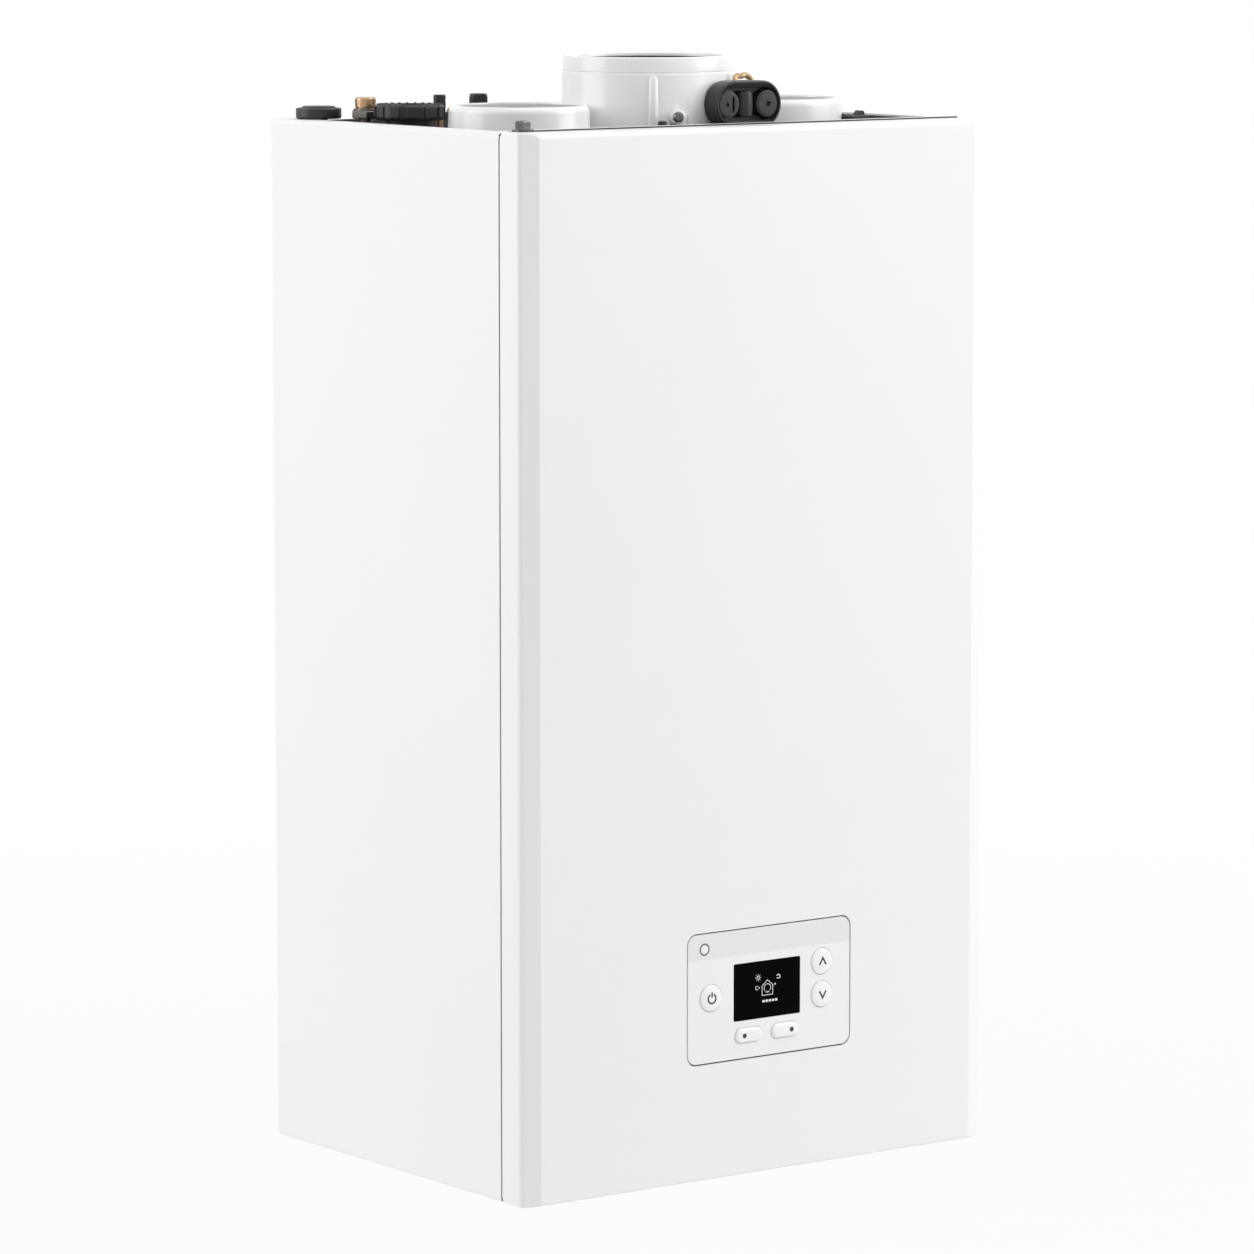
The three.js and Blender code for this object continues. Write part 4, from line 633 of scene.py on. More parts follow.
FINISHES = {
    "white_steel": powder_coat("white_powder_coat", (0.845, 0.85, 0.858), 0.34),
    "zinc_steel": zinc("zinc_plate", (0.55, 0.57, 0.59)),
    # Near-black coat for the top deck and its ribs. Its darkness is partly painted shade for the deck sunk
    # below the casing's top.
    "dark_steel": powder_coat("dark_coated_sheet", (0.028, 0.029, 0.031), 0.42, 0.03),
    "white_plastic": moulding("white_gloss_moulding", (0.875, 0.88, 0.885), 0.2, 700, 0.006, 0.012),
    "black_plastic": moulding("black_moulding", (0.02, 0.02, 0.022), 0.36, 1300, 0.02, 0.12,
                              Specular_Ior_Level=0.35),
    "grey_plastic": moulding("grey_glass_filled_moulding", (0.055, 0.058, 0.062), 0.5, 900, 0.04, 0.12),
    "rubber": moulding("black_rubber", (0.016, 0.016, 0.017), 0.42, 600, 0.03, 0.15, Specular_Ior_Level=0.4),
    "stainless": sheet_metal("brushed_stainless", (0.60, 0.60, 0.60), 0.28, (1, 1, 0.1)),
    "cast_aluminium": moulding("die_cast_aluminium", (0.56, 0.57, 0.58), 0.48, 420, 0.08, 0.07, Metallic=1.0),
    "brass": sheet_metal("turned_brass", (0.47, 0.32, 0.19), 0.34, (0.2, 0.2, 6), 0.1),
    "copper": sheet_metal("drawn_copper", (0.72, 0.36, 0.22), 0.3, (1, 1, 0.15), 0.12),
    "display_black": display_glass(),
    "circuit_board": board_lacquer(),
    "red_steel": powder_coat("red_paint", (0.36, 0.022, 0.02), 0.4, 0.03),
    "red_plastic": moulding("red_moulding", (0.45, 0.025, 0.02), 0.35),
    "ceramic": moulding("white_ceramic", (0.76, 0.75, 0.72), 0.25, 500, 0.01, 0.03),
    "fascia": fascia_moulding(),
    "dark_print": moulding("dark_print", (0.03, 0.032, 0.036), 0.45, 1500, 0.004, 0.1),
    "grey_print": moulding("grey_print", (0.17, 0.175, 0.18), 0.4, 1500, 0.004, 0.05),
    "lit_print": lit_print(),
    # Painted shade: grey for the white plugs' top dishes, standing in for the shade over them. Its low
    # specular keeps the white world out of them.
    "grey_dish": moulding("grey_satin_dish", (0.26, 0.265, 0.27), 0.45, 800, 0.01, 0.04,
                          Specular_Ior_Level=0.2),
    "dull_brass": sheet_metal("dull_brass", (0.16, 0.15, 0.14), 0.42, streak=0.2),
    "bright_steel": sheet_metal("bright_steel", (0.5, 0.5, 0.51), 0.2, streak=0.1),
    "dark_screw": sheet_metal("dark_screw", (0.15, 0.15, 0.155), 0.24, streak=0.15),
}


# ---- Repeated forms, grown by Geometry Nodes ----

def new_growth(name, sockets):
    tree = bpy.data.node_groups.new(name, "GeometryNodeTree")
    tree.interface.new_socket("Geometry", in_out="OUTPUT", socket_type="NodeSocketGeometry")
    for label, kind in sockets.items():
        tree.interface.new_socket(label, in_out="INPUT", socket_type=f"NodeSocket{kind}")
    nodes = Nodes(tree)
    return nodes, nodes.add("NodeGroupInput").outputs


def ended(nodes, geometry, given):
    """The last nodes of each tree: its copies made real, put in their place and painted."""
    real = nodes.add("GeometryNodeRealizeInstances", inputs={0: geometry}).outputs[0]
    inputs = {"Geometry": real, "Translation": given["Centre"], "Rotation": given["Turn"]}
    placed = nodes.add("GeometryNodeTransform", inputs=inputs).outputs[0]
    painted = nodes.add("GeometryNodeSetMaterial", inputs={"Geometry": placed, "Material": given["Finish"]})
    nodes.add("NodeGroupOutput", inputs={0: painted.outputs[0]})
    return nodes.tree


PLACE = {"Centre": "Vector", "Turn": "Rotation", "Finish": "Material"}


def copies(nodes, given, points, **more):
    item = nodes.add("GeometryNodeObjectInfo", inputs={"Object": given["Item"]}).outputs["Geometry"]
    inputs = {"Points": points.outputs[0], "Instance": item, **more}
    return nodes.add("GeometryNodeInstanceOnPoints", inputs=inputs).outputs[0]


def ring_growth():
    """Copies of an item on a ring, each turned to face outward."""
    nodes, given = new_growth("ring_of_items", {"Item": "Object", "Count": "Int", "Radius": "Float", **PLACE})
    ring = nodes.add("GeometryNodeMeshCircle", inputs={"Vertices": given["Count"], "Radius": given["Radius"]})
    index = Value(nodes, nodes.add("GeometryNodeInputIndex").outputs[0])
    turn = nodes.add("ShaderNodeCombineXYZ", inputs={2: index * (2 * math.pi) / Value(nodes, given["Count"])})
    return ended(nodes, copies(nodes, given, ring, Rotation=turn.outputs[0]), given)


def row_growth():
    """Copies of an item at one step along a line."""
    nodes, given = new_growth("row_of_items", {"Item": "Object", "Count": "Int", "Step": "Vector", **PLACE})
    row = nodes.add("GeometryNodeMeshLine", inputs={"Count": given["Count"], "Offset": given["Step"]})
    return ended(nodes, copies(nodes, given, row), given)


def thread_growth():
    """The raised turns of a pipe thread."""
    sockets = {"Radius": "Float", "Length": "Float", "Turns": "Float", "Tooth": "Float", **PLACE}
    nodes, given = new_growth("pipe_thread", sockets)
    spiral = nodes.add("GeometryNodeCurveSpiral", inputs={
        "Resolution": 28, "Rotations": given["Turns"], "Start Radius": given["Radius"],
        "End Radius": given["Radius"], "Height": given["Length"]})
    tooth = nodes.add("GeometryNodeCurvePrimitiveCircle", inputs={"Resolution": 4, "Radius": given["Tooth"]})
    swept = nodes.add("GeometryNodeCurveToMesh", inputs={0: spiral.outputs[0], 1: tooth.outputs[0]})
    nodes.plug(swept.inputs["Fill Caps"], True)
    return ended(nodes, swept.outputs[0], given)


RING, ROW, THREAD = ring_growth(), row_growth(), thread_growth()


def grown(name, tree, finish, body, centre, turn=(0, 0, 0), slot=None, **values):
    """A plain mesh grown from a tree's named inputs, at a centre in casing millimetres."""
    piece = linked(name, bpy.data.meshes.new(name))
    modifier = piece.modifiers.new("growth", "NODES")
    modifier.node_group = tree
    place = (centre[0] * MM, centre[1] * MM, (centre[2] + CASING_FOOT) * MM)
    values.update(Centre=place, Turn=turn, Finish=FINISHES[finish].material)
    for socket in tree.interface.items_tree:
        if socket.in_out == "INPUT":
            modifier[socket.identifier] = values[socket.name]
    settle(piece)
    return fitted(piece, finish, body=body, slot=slot)


def item(shape):
    """A small piece about the origin, for a tree to copy. Its own z is measured from the origin."""
    return solid("item", shape.moved(lambda x, y, z: (x, y, z - CASING_FOOT)))


# ---- Casing ----

def front_cover():
    chamfer = rounded([(0, 40), (0, 4.8, 4), (13.2, 0)], closed=False)
    side = chamfer[1:]
    shape = tray("y", (-HALF, HALF, 0, HEIGHT), COVER_REAR, FRONT, [side, side, bend(1.5), bend(3.5)])
    left, right, low, high = FASCIA
    cutters = [slab(rectangle(left - 0.9, right + 0.9, low - 0.9, high + 0.9, 7.9), THROUGH_FRONT, "y")]
    for x in (-150, 150):
        cutters.append(slab(circle(x, -280, 2.4), (-1, 3), "z"))
    near, far = COVER_REAR - 4.5, COVER_REAR + 1
    for end, inward in ((HEIGHT, -1), (0, 1)):
        corner = rounded([
            (near, end - inward), (far, end - inward), (far, end + inward * 4.5),
            (COVER_REAR, end + inward * 4.5), (COVER_REAR, end, 4.4), (near, end)])
        for outer in (-HALF - 1, HALF - 1.5):
            cutters.append(slab(corner, (outer, outer + 2.5), "x"))
    skin = cut(solid("front_cover_skin", shape), *cutters)
    fitted(skin, "white_steel", "front_cover", body="front_cover")
    # The cover seal's black rubber lip sits in the seam gap just under the surface, and a strip of it stands
    # above the cover's top edge. They are partly the seal and partly dark pieces standing in for the shade
    # inside the seams.
    edge = 0.5
    gap = (COVER_REAR + 0.05, PANEL_FRONT - 0.15)
    lip = frame_of(rectangle(-HALF + edge, HALF - edge, edge, HEIGHT - edge, 1.2), 3, gap, "y")
    top_seam_shade_strip = slab(rectangle(-178, 186, HEIGHT - 0.4, HEIGHT + 0.9, 0.4), gap, "y")
    made("cover_seal_lip", lip + top_seam_shade_strip, "rubber", body="front_cover")


def side_panel(name, side):
    box = (PANEL_FRONT, 0, 0, HEIGHT)
    edges = [bend(0.5), bend(2), bend(2), bend(3)]
    shape = tray("x", box, side * (HALF - FLANGE), side * HALF, edges, corner=1.6)
    made(f"{name}_skin", shape, "white_steel", name)


def top_rail():
    piece = refined("top_front_rail", 0.35)
    slot = stadium(-171, -258.65, 30, 7.8)
    cut(piece, slab(slot, (HEIGHT - 3, HEIGHT + 1), "z"))
    piece.data.set_sharp_from_angle(angle=SHARP)


def rail_screw():
    rim = [(3.4, 700.3), (7.2, 700.3, 0.3), (7.2, 701.3, 0.4), (3.4, 701.3)]
    washer = turned(rim, RAIL_SCREW, joined=True)
    head = slab(circle(*RAIL_SCREW, 5.6, 6), (701.2, 706.8), "z", 0, 0.9)
    recess = turned([(0, 705.2), (2.6, 706), (2.6, 708), (0, 708)], RAIL_SCREW, steps=6)
    shank = turned([(0, 688), (2.9, 689), (2.9, 701.5), (0, 701.5)], RAIL_SCREW, steps=24)
    piece = cut(solid("rail_screw_fine", washer + head + shank), recess)
    fitted(piece, "dark_screw", "rail_screw", slot="dark_steel")


# ---- Top ----

def collar_rib(angle, width, tip, rise, top):
    """An upright rib on the collar's wall, which narrows and sinks towards its top."""
    x, y = FLUE
    turn = math.radians(angle)
    out = Vector((math.cos(turn), math.sin(turn)))
    side = Vector((-out.y, out.x))
    rings = []
    for level, half, reach in ((689, width / 2, rise), (top - 4, (width + tip) / 4, rise * 0.85),
                               (top - 1, tip / 2, rise * 0.6), (top, tip / 3, 0.1)):
        line = [out * (COLLAR - 0.4 + reach * u) + side * half * v for u, v in arc(0, 0, 1, -90, 90, 12)]
        line += [out * (COLLAR - 3) + side * half * sign for sign in (1, -1)]
        rings.append([(x + p.x, y + p.y, level) for p in line])
    return loft(rings)


def flue_collar():
    profile = [
        (COLLAR_BORE, TOP_FOOT), (58.5, TOP_FOOT, 0.4), (58.5, 692.4, 0.4), (COLLAR, 693.4),
        (COLLAR, COLLAR_GROOVE - 0.9, 0.3), (57.2, COLLAR_GROOVE - 0.5), (57.2, COLLAR_GROOVE + 0.3),
        (57.6, COLLAR_GROOVE + 0.7, 0.4), (57, COLLAR_TOP, 0.9), (COLLAR_BORE + 0.4, COLLAR_TOP, 1),
        (COLLAR_BORE, 739)]
    body = solid("flue_collar_moulding", turned(profile, FLUE, steps=128, joined=True))
    ribs = [collar_rib(-122.9, 7.2, 4.2, 2.6, 731.5), collar_rib(-98.9, 3.4, 1.0, 1.9, 708)]
    profile = [
        (0, BOSS_FRONT), (4.2, BOSS_FRONT), (5.0, BOSS_FRONT + 0.5), (5.2, BOSS_FRONT + 1.4), (5.4, -214),
        (0, -214)]
    boss = spun(turned(profile, BOSS, "y", 48), BOSS_PIVOT, BOSS_TURN)
    x, z = BOSS
    web = block((x - 2.6, x + 2.6), (BOSS_FRONT + 1.5, -216), (689, z), 0.5)
    neck = slab(stadium(*SAMPLING, 48, 25), (-225.7, -187.3), "y")
    weld(body, *ribs, boss, web, neck)
    step = BOSS_FRONT + 1.2
    bore = turned([(0, -232), (3.5, -232), (3.5, step), (1.7, step), (1.7, -220), (0, -220)], BOSS, "y", 32)
    bores = [spun(bore, BOSS_PIVOT, BOSS_TURN)]
    for x in CAPS.values():
        bores.append(turned([(0, -227), (4.4, -227), (4.4, -186), (0, -186)], (x, SAMPLING[1]), "y", 32))
    bores.append(turned([(0, 689), (COLLAR_BORE, 689), (COLLAR_BORE, 735), (0, 735)], FLUE, steps=128))
    cut(body, *bores)
    fitted(body, "white_plastic", "flue_collar")


def air_plug(name, side):
    centre = (side * PLUG_X, FLUE[1])
    flange = 48.8 if side > 0 else 47.8
    skirt = [
        (37.5, 679.3), (40, 679.3, 0.4), (40, TOP_FOOT), (flange, TOP_FOOT, 0.3), (flange, 689.6, 0.4),
        (47.4, 690.2), (46.8, 709.4, 5), (44.4, 712.4, 1.6), (43, 712.4, 0.5), (42.4, 710), (34.2, 710),
        (34.2, 706), (37.5, 704)]
    shape = turned(skirt, centre, steps=128, joined=True)
    made(f"{name}_skirt", shape, "white_plastic", name)
    # The dish on the white plug's top is painted grey: painted shade on white plastic.
    dish = [
        (0, 711.8), (9, 711.8, 1), (10.5, 711.2, 1), (42.2, 711.2, 0.3), (42.2, 710.1), (34, 710.1),
        (34, 706.4), (0, 706.4)]
    made(f"{name}_dish", turned(dish, centre, steps=96), "grey_dish", slot="white_plastic")


def sampling_port():
    x, z = SAMPLING
    front, back = SAMPLING_FRONT, SAMPLING_FRONT + 14.5
    body = solid("sampling_housing_shell", slab(stadium(x, z, 54, 31), (front, back), "y", 0.9, 0.4))
    outer, floor = stadium(x, z, 51, 28.4), stadium(x, z, 49.4, 21.6)
    levels = ((outer, front - 1), (outer, front + 0.4), (floor, front + 3.2), (floor, front + 8.5))
    cutters = [loft([[(p.x, level, p.y) for p in line] for line, level in levels])]
    bore = [(0, front), (4.4, front), (4.4, back + 1), (0, back + 1)]
    for cap_x in CAPS.values():
        cutters.append(turned(bore, (cap_x, z), "y", 32))
    cut(body, *cutters)
    barrel = [(0, z - 8.8), (6.2, z - 8.8, 1.2), (6.9, z, 60), (6.2, z + 8.8, 1.2), (0, z + 8.8)]
    weld(body, turned(barrel, (x + 0.4, front + 7.6), steps=40))
    fitted(body, "black_plastic", "sampling_housing")


def sampling_cap(side, x):
    z = SAMPLING[1]
    front = SAMPLING_FRONT
    face = front + 1
    profile = [
        (0, face), (7.9, face, 0.2), (8.1, face + 0.5), (9.1, face + 0.6, 0.5), (9.1, front + 8.4),
        (4, front + 8.4), (3.6, front + 22), (0, front + 22)]
    name = f"sampling_cap_{side}"
    cap = solid(f"{name}_fine", turned(profile, (x, z), "y", 64))
    if side == "left":
        dent = [(0, face - 1), (1.5, face - 1), (1.2, face + 1.4), (0, face + 1.4)]
        dent = turned(dent, (x - 1.4, z), "y", 24)
        cut(cap, slab(stadium(x + 3.6, z, 1.9, 10.5), (face - 1, face + 1.5), "y"), dent)
    else:
        dent = turned([(0, face - 1), (2.1, face - 1), (1.5, face + 1.8), (0, face + 1.8)], (x, z), "y", 24)
        cut(cap, dent, slab(stadium(x + 1.2, z + 0.4, 3.4, 1.2), (face - 1, face + 1.2), "y"))
    fitted(cap, "black_plastic", name, body=name)


def sampling_clip():
    x, z = SAMPLING
    points = [
        (x + 1, -224, z + 14), (x + 2, -222, z + 17.2), (x + 6, -220, z + 18.4), (x + 10, -218, z + 17.2),
        (x + 13, -217, z + 18.6), (x + 18, -215, z + 17.6), (x + 23, -213, z + 14), (x + 24, -212, z + 6)]
    made("sampling_clip", tube(smoothed(points), 1.9), "brass")


def around(name, finish, body, centre, shape, count, radius):
    """Copies of a shape on a ring about a centre."""
    grown(name, RING, finish, body, centre, Item=item(shape), Count=count, Radius=radius * MM)


def charging_valve():
    centre = (-150, -50)
    stem = turned([(0, 632.3), (4.8, 632.3), (4.8, 700.6), (0, 700.6)], centre)
    base = slab(circle(*centre, 10, 6), (700.5, 705.9), "z", 0.6, 0.9)
    collar = turned([(0, 705.7), (8, 705.7), (8, 707.1, 0.3), (0, 707.1)], centre)
    shape = base + stem + collar
    made("charge_valve_base", shape, "dull_brass", "charge_valve", slot="brass")
    cap = [(0, 706.9), (6.6, 706.9, 0.3), (6.8, 708.5, 0.3), (6.8, 714.7, 1), (0, 714.7)]
    made("charge_valve_cap", turned(cap, centre), "brass")
    half = 0.35
    grip = slab(rounded([(-half, -half), (half, -half), (half, half), (-half, half)]), (0, 4.4), "z")
    around("charge_valve_grips", "brass", "casing", (*centre, 709), grip, 28, 6.7)


def air_vent():
    x, y = centre = (-78, -80)
    body = [(0, 642), (4, 642), (4, 648), (13, 650, 1), (13, 686.5), (4.5, 686.5), (4.5, 707), (0, 707)]
    made("air_vent_body", turned(body, centre), "brass", "auto_air_vent")
    knob = [(0, 707.3), (6, 707.3, 0.4), (6, 716.5, 1.2), (4.2, 716.5, 0.4), (3.6, 716, 0.4), (0, 716)]
    groove = slab(rectangle(x - 0.6, x + 0.6, y - 10, y + 10, 0.2), (715, 718), "z")
    cap = cut(solid("air_vent_cap_fine", turned(knob, centre)), groove)
    fitted(cap, "black_plastic", "air_vent_cap", body="air_vent_cap")
    rib = slab(rounded([(-0.3, -0.35), (0.4, -0.2), (0.4, 0.2), (-0.3, 0.35)]), (0, 6), "z")
    around("air_vent_cap_ribs", "black_plastic", "air_vent_cap", (*centre, 708.4), rib, 20, 5.8)


def large_bung():
    centre = (-140, -88)
    bung = [
        (0, 680), (14, 680, 0.5), (16, 682), (16, 700.6), (22.4, 700.6, 0.5), (23.2, 702.4, 0.5),
        (23.2, 709.6, 1), (22, 711, 0.6), (18.6, 711, 0.8), (17.4, 708.2, 0.6), (6, 708.2),
        (5.4, 709.4, 0.4), (0, 709.4)]
    made("large_bung_moulding", turned(bung, centre, steps=96), "rubber", "large_bung")
    grip = slab(rectangle(-1.2, 0.9, -3.6, 3.6, 0.5), (0, 7.6), "z", 0.3, 0.6, 0.1)
    around("large_bung_grips", "rubber", "casing", (*centre, 702.6), grip, 12, 23.1)
    nib = slab(rectangle(-1.6, 1.6, -0.7, 0.7, 0.3), (0, 1.1), "z", 0, 0.3, 0.1)
    around("large_bung_nibs", "rubber", "casing", (*centre, 710.4), nib, 24, 20.6)


def corner_bung():
    bung = [
        (0, 680), (6, 680, 0.5), (6, 700.3), (14.8, 700.3, 0.4), (15.4, 701.2, 0.4), (15.4, 707.2, 0.8),
        (12.8, 707.6, 0.3), (12.4, 706.2), (11.4, 706.2), (11, 708.6, 0.8), (0, 708.6)]
    shape = turned(bung, (-172.5, -27), steps=96)
    made("corner_bung_moulding", shape, "rubber", "corner_bung")


def nipple():
    x, y = centre = (-110, -80)
    knob = [(0, 708.8), (4.3, 708.8, 0.4), (4.1, 712), (4.3, 716.5, 1), (0, 716.5)]
    made("nipple_cap", turned(knob, centre, steps=24), "black_plastic")
    stem = turned([(0, TOP_FOOT), (2.6, TOP_FOOT), (2.6, 709), (0, 709)], centre, steps=32)
    nut = slab(circle(*centre, 5.4, 6), (TOP_FOOT, 692.5), "z", 0, 0.5)
    made("nipple_stem", stem + nut, "brass")
    arm = [(x + 1, y, 700), (x + 5, y, 703), (x + 10, y, 704), (x + 15, y, 701.5)]
    made("nipple_lever", tube(smoothed(arm), 1.8), "black_plastic")
    tip = [(x + 6.5, y, 703), (x + 7, y, 706.4), (x + 9.5, y, 707.4), (x + 10.5, y, 704)]
    made("nipple_ring", tube(smoothed(tip), 0.9), "brass")


def deck_ribs(name, x, y, half, height, count, step):
    # The ribs take the deck's near-black finish, which is partly painted shade.
    rib = slab(rectangle(-1.1, 1.1, -half, half, 0.6), (0, height), "z", 0, 0.7, 0.1)
    grown(name, ROW, "dark_steel", "casing", (x, y, DECK), Item=item(rib), Count=count,
          Step=(step * MM, 0, 0))


def collar_clip(label, x, y, width, top):
    post = block((x - width / 2, x + width / 2), (y - 1.6, y + 1.6), (TOP_FOOT, top), 0.5)
    ear = slab(circle(x, top - 2, 2.3), (y - 2.2, y + 2.2), "y", 0.4, 0.4, 0.1)
    made(f"collar_clip_{label}", post + ear, "black_plastic")


def cable_clip():
    depth = (-206, -200)
    plinth = block((136, 176), depth, (TOP_FOOT, 697), 0.8)
    bridge = block((142, 158), (-208, -198), (696, 700.6), 1)
    outline = rounded([(150, 699), (156, 699), (156, 703, 1.4), (152.6, 703.6, 1.4), (150, 701)])
    hook = slab(outline, depth, "y", 0.4, 0.4, 0.1)
    made("cable_clip", plinth + bridge + hook, "black_plastic")


def flue_lining():
    edge = COLLAR_BORE - 0.4
    lip = [
        (COLLAR_BORE - 4, 728), (edge, 727.6), (edge, 741.2, 0.8), (COLLAR_BORE - 2.2, 741.2, 0.6),
        (COLLAR_BORE - 4.4, 737, 0.6), (COLLAR_BORE - 2.4, 733)]
    shape = turned(lip, FLUE, steps=128, joined=True)
    made("outer_flue_seal_fine", shape, "rubber", "outer_flue_seal")
    duct = [(30, 572), (33, 572, 0.3), (33, 733.9, 0.6), (30, 733.9, 0.6)]
    shape = turned(duct, FLUE, steps=96, joined=True)
    made("inner_flue_duct_fine", shape, "white_plastic", "inner_flue_duct")


def collar_screw():
    profile = [
        (0, -230.6), (2.6, -230.6, 0.6), (3.3, -229.6, 0.3), (3.3, -228.1), (1.5, -228.1), (1.5, -221),
        (0, -221)]
    head = spun(turned(profile, BOSS, "y", 32), BOSS_PIVOT, BOSS_TURN)
    recess = spun(slab(circle(*BOSS, 1.8, 6), (-232, -229.2), "y"), BOSS_PIVOT, BOSS_TURN)
    screw = cut(solid("collar_screw_fine", head), recess)
    fitted(screw, "dark_screw", "collar_screw", slot="stainless")


# ---- Controls ----

def fascia_plate():
    left, right, low, high = FASCIA
    plate = slab(rectangle(left, right, low, high, 7), (FRONT, FRONT + 1.9), "y", 0.35, 0)
    left, right, low, high = DISPLAY
    window = rectangle(left - 0.3, right + 0.3, low - 0.3, high + 0.3, 1.1)
    cutters = [slab(window, THROUGH_FRONT, "y")]
    for x, z, radius in BUTTONS.values():
        cutters.append(slab(circle(x, z, radius + BUTTON_GAP, 64), THROUGH_FRONT, "y"))
    for x, z, _ in KEYS.values():
        hole = stadium(x, z, *(size + 2 * BUTTON_GAP for size in KEY_SIZE))
        cutters.append(slab(hole, THROUGH_FRONT, "y"))
    piece = cut(solid("fascia_plate", plate), *cutters)
    fitted(piece, "fascia", "fascia", body="control_box", slot="white_plastic")
    glass = slab(rectangle(*DISPLAY, 1), (FRONT + 0.1, FRONT + 1.9), "y", 0.25, 0)
    made("display_glass_pane", glass, "display_black", "display_window", body="control_box")


def fascia_ring():
    sunk, raised = FRONT + 0.1, FRONT - 0.12
    profile = [(3.0, sunk), (3.1, raised), (4.1, raised), (4.3, sunk)]
    ring = turned(profile, FASCIA_RING, "y", 64, joined=True)
    made("fascia_ring", ring, "grey_print", body="control_box", slot="grey_plastic")
    profile = [(0, FRONT - 0.05), (3.0, FRONT - 0.03), (3.32, sunk), (0, sunk)]
    centre = turned(profile, FASCIA_RING, "y", 48)
    made("fascia_ring_centre", centre, "white_plastic", body="control_box")


def display_signs():
    """Plain signs on the display: a house with a flame ring, small marks about it and a row of bars."""
    ys = (FRONT + 0.02, FRONT + 0.12)

    def pen(points, width):
        return slab(stroke(points, width), ys, "y")

    x = 5.9
    house = rounded([(x - 4.7, 119.7), (x + 4.7, 119.7), (x + 4.7, 126.4), (x, 130.3), (x - 4.7, 126.4)])
    shape = frame_of(house, 0.42, ys, "y") + pen(arc(x, 124.6, 2.8, -40, 220), 0.4)
    wave = [(x - 1.6, 121.6), (x - 0.8, 122.4), (x, 121.6), (x + 0.8, 122.4), (x + 1.6, 121.6)]
    shape += pen(wave, 0.35)
    u, v = -1.9, 132.3
    shape += frame_of(circle(u, v, 1.25, 24), 0.4, ys, "y")
    for k in range(8):
        along, up = math.cos(math.pi / 4 * k), math.sin(math.pi / 4 * k)
        shape += pen([(u + reach * along, v + reach * up) for reach in (1.7, 2.4)], 0.36)
    shape += pen(arc(15.1, 131.2, 1.5, 150, -30), 0.6) + pen([(13.7, 130.4), (16.6, 130.4)], 0.5)
    shape += pen(arc(-2.9, 125.4, 1.2, 60, 300), 0.42)
    shape += pen([(-1.5, 124.6), (-0.7, 125.4), (-1.5, 126.2)], 0.36)
    shape += slab(circle(12.3, 126.6, 0.6, 16), ys, "y")
    for k in range(5):
        left = 1.6 + k * 2.7
        shape += slab(rectangle(left, left + 1.9, 115.1, 116.7, 0.3), ys, "y")
    made("display_signs", shape, "lit_print", body="control_box", slot="display_black", smooth=False)


def printed(name, shape, body):
    """A dark sign on a button."""
    made(name, shape, "dark_print", body=body, slot="black_plastic", smooth=False)


def buttons():
    face = BUTTON_FACE
    front, back = BUTTON_RIM
    for name, (x, z, radius) in BUTTONS.items():
        profile = [
            (0, face), (radius - 2.6, face + 0.12, 14), (radius - 0.4, face + 0.75, 0.9),
            (radius, face + 1.7, 0.6), (radius, front), (radius + 1.3, front), (radius + 1.3, back),
            (3, back), (3, PLUNGER_END), (0, PLUNGER_END)]
        made(f"{name}_dome", turned(profile, (x, z), "y", 96), "white_plastic", name, body=name)
    ys = (face - 0.06, face + 0.14)
    x, z, _ = BUTTONS["power_button"]
    sign = slab(stroke(arc(x, z - 0.3, 3.15, 118, 422, 32), 1.1), ys, "y")
    sign += slab(stroke([(x, z + 4.1), (x, z + 0.6)], 1.1), ys, "y")
    printed("power_sign", sign, "power_button")
    for name, up in (("up_button", 1), ("down_button", -1)):
        x, z, _ = BUTTONS[name]
        line = [(x - 2.75, z - 2.3 * up), (x, z + 2.5 * up), (x + 2.75, z - 2.3 * up)]
        printed(f"{name}_arrow", slab(stroke(line, 1.2), ys, "y"), name)


def soft_keys():
    face = BUTTON_FACE
    front, back = BUTTON_RIM
    steps = (
        (3.6, face), (3.0, face), (2.3, face + 0.05), (1.6, face + 0.17), (1.0, face + 0.36),
        (0.5, face + 0.64), (0.15, face + 1.05), (0, face + 1.7), (0, front), (-1.3, front), (-1.3, back))
    for name, (x, z, dot) in KEYS.items():
        outline = stadium(x, z, *KEY_SIZE)
        shape = loft([[(p.x, level, p.y) for p in inset(outline, step)] for step, level in steps])
        plunger = [(0, back - 0.1), (3, back - 0.1), (3, PLUNGER_END), (0, PLUNGER_END)]
        shape += turned(plunger, (x, z), "y", 24)
        made(f"{name}_moulding", shape, "white_plastic", name, body=name)
        mark = [(0, face - 0.05), (1.65, face - 0.05), (1.75, face + 0.3), (0, face + 0.3)]
        printed(f"{name}_mark", turned(mark, (dot, z), "y", 32), name)


# ---- Held inside, behind and below ----

def inner_pieces():
    eased = {
        0.3: ("wall_bracket", "rear_panel", "bottom_plate", "top_deck", "cover_screw_left",
              "cover_screw_right", "control_box_hinge_pin", "plate_heat_exchanger", "fan_impeller",
              "pump_impeller", "mains_gland"),
        0.6: ("cover_seal", "control_box", "control_box_back", "ignition_electrode", "heat_exchanger_coil",
              "burner", "gas_pipe", "flow_pipe", "return_pipe", "condensate_trap", "filling_tap",
              "relief_valve_knob"),
        1.2: ("heat_exchanger_shell", "burner_door", "fan_housing", "fan_motor", "gas_valve", "flow_block",
              "diverter_motor", "return_block", "pump_motor", "expansion_vessel"),
        0.2: ("control_board",),
    }
    for edge, nodes in eased.items():
        for node in nodes:
            refined(node, edge)


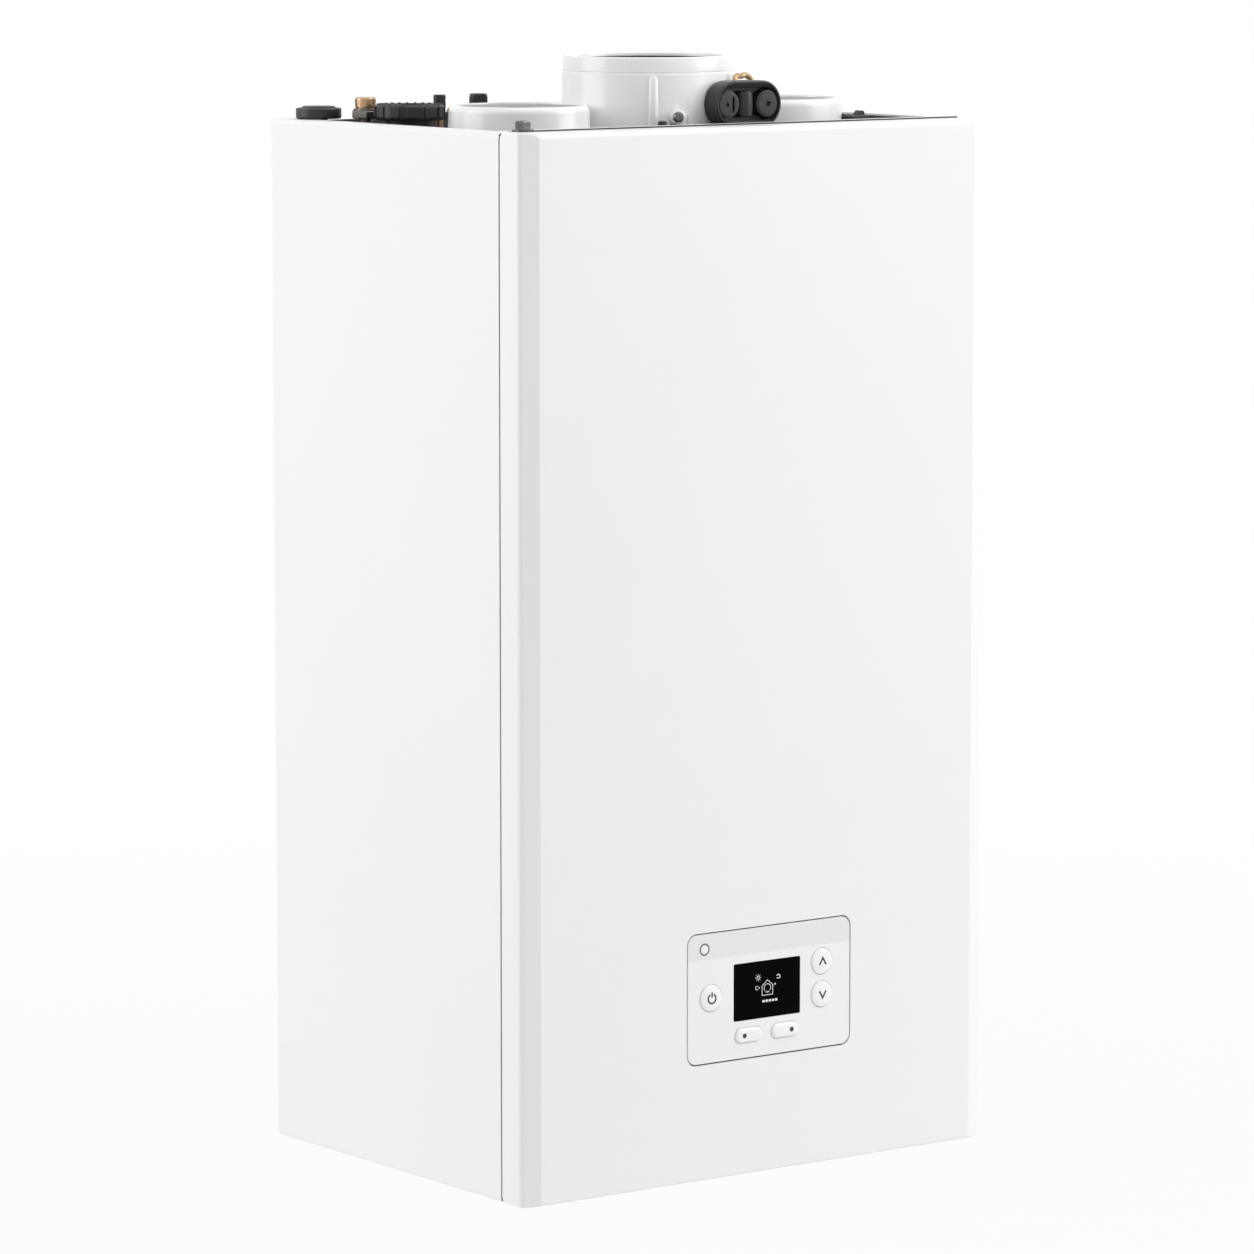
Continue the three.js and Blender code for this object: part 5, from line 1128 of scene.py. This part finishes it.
def fasteners():
    rivet = turned([(0, -0.4), (3.2, -0.4), (3.2, 0.6, 0.5), (2.2, 1.4, 0.6), (0, 1.7)], (0, 0), steps=16)
    back = (-math.pi / 2, 0, 0)
    for label, x in (("left", -170), ("right", 170)):
        grown(f"rear_rivets_{label}", ROW, "bright_steel", "casing", (x, -12, 60), back, "stainless",
              Item=item(rivet), Count=8, Step=(0, -82 * MM, 0))
    screw = slab(circle(0, 0, 4, 6), (-0.3, 2.4), "z", 0, 0.5, 0.1)
    down = (math.pi, 0, 0)
    grown("bottom_screws", ROW, "bright_steel", "casing", (-176, -22, 12), down, "stainless",
          Item=item(screw), Count=5, Step=(88 * MM, 0, 0))
    for k, (x, radius) in enumerate(STUBS):
        grown(f"stub_thread_{k + 1}", THREAD, "grey_plastic", "casing", (x, -75, -12.5),
              Radius=(radius - 0.1) * MM, Length=15 * MM, Turns=8.0, Tooth=0.75 * MM)


front_cover()
side_panel("left_side_panel", -1)
side_panel("right_side_panel", 1)
top_rail()
rail_screw()
flue_collar()
air_plug("left_air_plug", -1)
air_plug("right_air_plug", 1)
sampling_port()
for cap_side, cap_x in CAPS.items():
    sampling_cap(cap_side, cap_x)
sampling_clip()
charging_valve()
air_vent()
large_bung()
corner_bung()
nipple()
deck_ribs("deck_ribs_left", -158, -190, 30, 7.5, 5, 5.5)
deck_ribs("deck_ribs_back", -42, -60, 18, 5, 10, 9)
collar_clip("one", -33.5, -228.5, 5.4, 701.8)
collar_clip("two", -26.5, -232, 4.6, 700)
cable_clip()
flue_lining()
collar_screw()
fascia_plate()
fascia_ring()
display_signs()
buttons()
soft_keys()
inner_pieces()
fasteners()
for spare in [o for o in bpy.data.objects if o.name.startswith("item")]:
    bpy.data.objects.remove(spare)


# ---- Studio ----

def seen_directly(nodes):
    """1 for camera, mirror and glass rays, and 0 for the rays that carry light."""
    path = nodes.add("ShaderNodeLightPath").outputs
    camera_ray, mirrored, through = (
        Value(nodes, path[f"Is {kind} Ray"]) for kind in ("Camera", "Glossy", "Transmission"))
    return camera_ray.most(mirrored).most(through)


def studio_world(level):
    world = bpy.data.worlds.new("studio")
    world.use_nodes = True
    bpy.context.scene.world = world
    nodes = Nodes(world.node_tree)
    background = world.node_tree.nodes["Background"]
    nodes.plug(background.inputs["Color"], (1, 1, 1, 1))
    nodes.plug(background.inputs["Strength"], seen_directly(nodes) * (1 - level) + level)


def studio_floor(level, radius=14):
    floor = linked("studio_floor", bpy.data.meshes.new("studio_floor"))
    rim = [(p.x, p.y, level) for p in circle(0, 0, radius, 64)]
    floor.data.from_pydata(rim, [], [list(range(64))])
    finish = Finish("pale_floor", Roughness=0.8)
    finish.set("Base Color", finish.mixed(finish.noise(2, 2), (0.78, 0.78, 0.78), (0.8, 0.8, 0.8)))
    glow = finish.add("ShaderNodeEmission", inputs={"Color": (1, 1, 1, 1), "Strength": 1.0}).outputs[0]
    length = finish.add("ShaderNodeVectorMath", {"operation": "LENGTH"}, {0: finish.place})
    far = Value(finish, length.outputs["Value"])
    share = seen_directly(finish) * (far.band(1.0, 4.0) * 0.14 + 0.86)
    both = finish.add("ShaderNodeMixShader", inputs={0: share, 1: finish.shader.outputs[0], 2: glow})
    finish.tree.links.new(both.outputs[0], finish.tree.nodes["Material Output"].inputs["Surface"])
    floor.data.materials.append(finish.material)


def softbox(name, place, size, power, aim=(0, -0.15, -0.2)):
    lamp = bpy.data.lights.new(name, "AREA")
    lamp.shape = "RECTANGLE"
    lamp.size, lamp.size_y = size
    lamp.energy = power
    holder = linked(name, lamp)
    holder.location = place
    holder.rotation_euler = (Vector(aim) - Vector(place)).to_track_quat("-Z", "Y").to_euler()


def camera():
    """The photograph's view: 36.5 degrees to the left of the front and 7.3 degrees down, from 4.2 m."""
    lens = bpy.data.cameras.new("camera")
    lens.lens = 174.75
    lens.sensor_width = 36
    lens.clip_end = 100
    holder = linked("camera", lens)
    yaw, pitch = math.radians(36.454), math.radians(7.282)
    ahead = Vector((math.sin(yaw) * math.cos(pitch), math.cos(yaw) * math.cos(pitch), -math.sin(pitch)))
    holder.location = (-2.4526, -3.4638, 0.2405)
    holder.rotation_euler = ahead.to_track_quat("-Z", "Y").to_euler()
    bpy.context.scene.camera = holder


bpy.context.scene.view_settings.view_transform = "Standard"
studio_world(0.6)
studio_floor(-1.0)
softbox("right_softbox", (1.9, -1.8, 1.15), (1.8, 2.2), 49)
softbox("left_softbox", (-2.2, 0.9, 0.7), (1.7, 2.2), 31)
softbox("top_softbox", (0.4, -0.6, 3.2), (2.4, 2.4), 22)
camera()
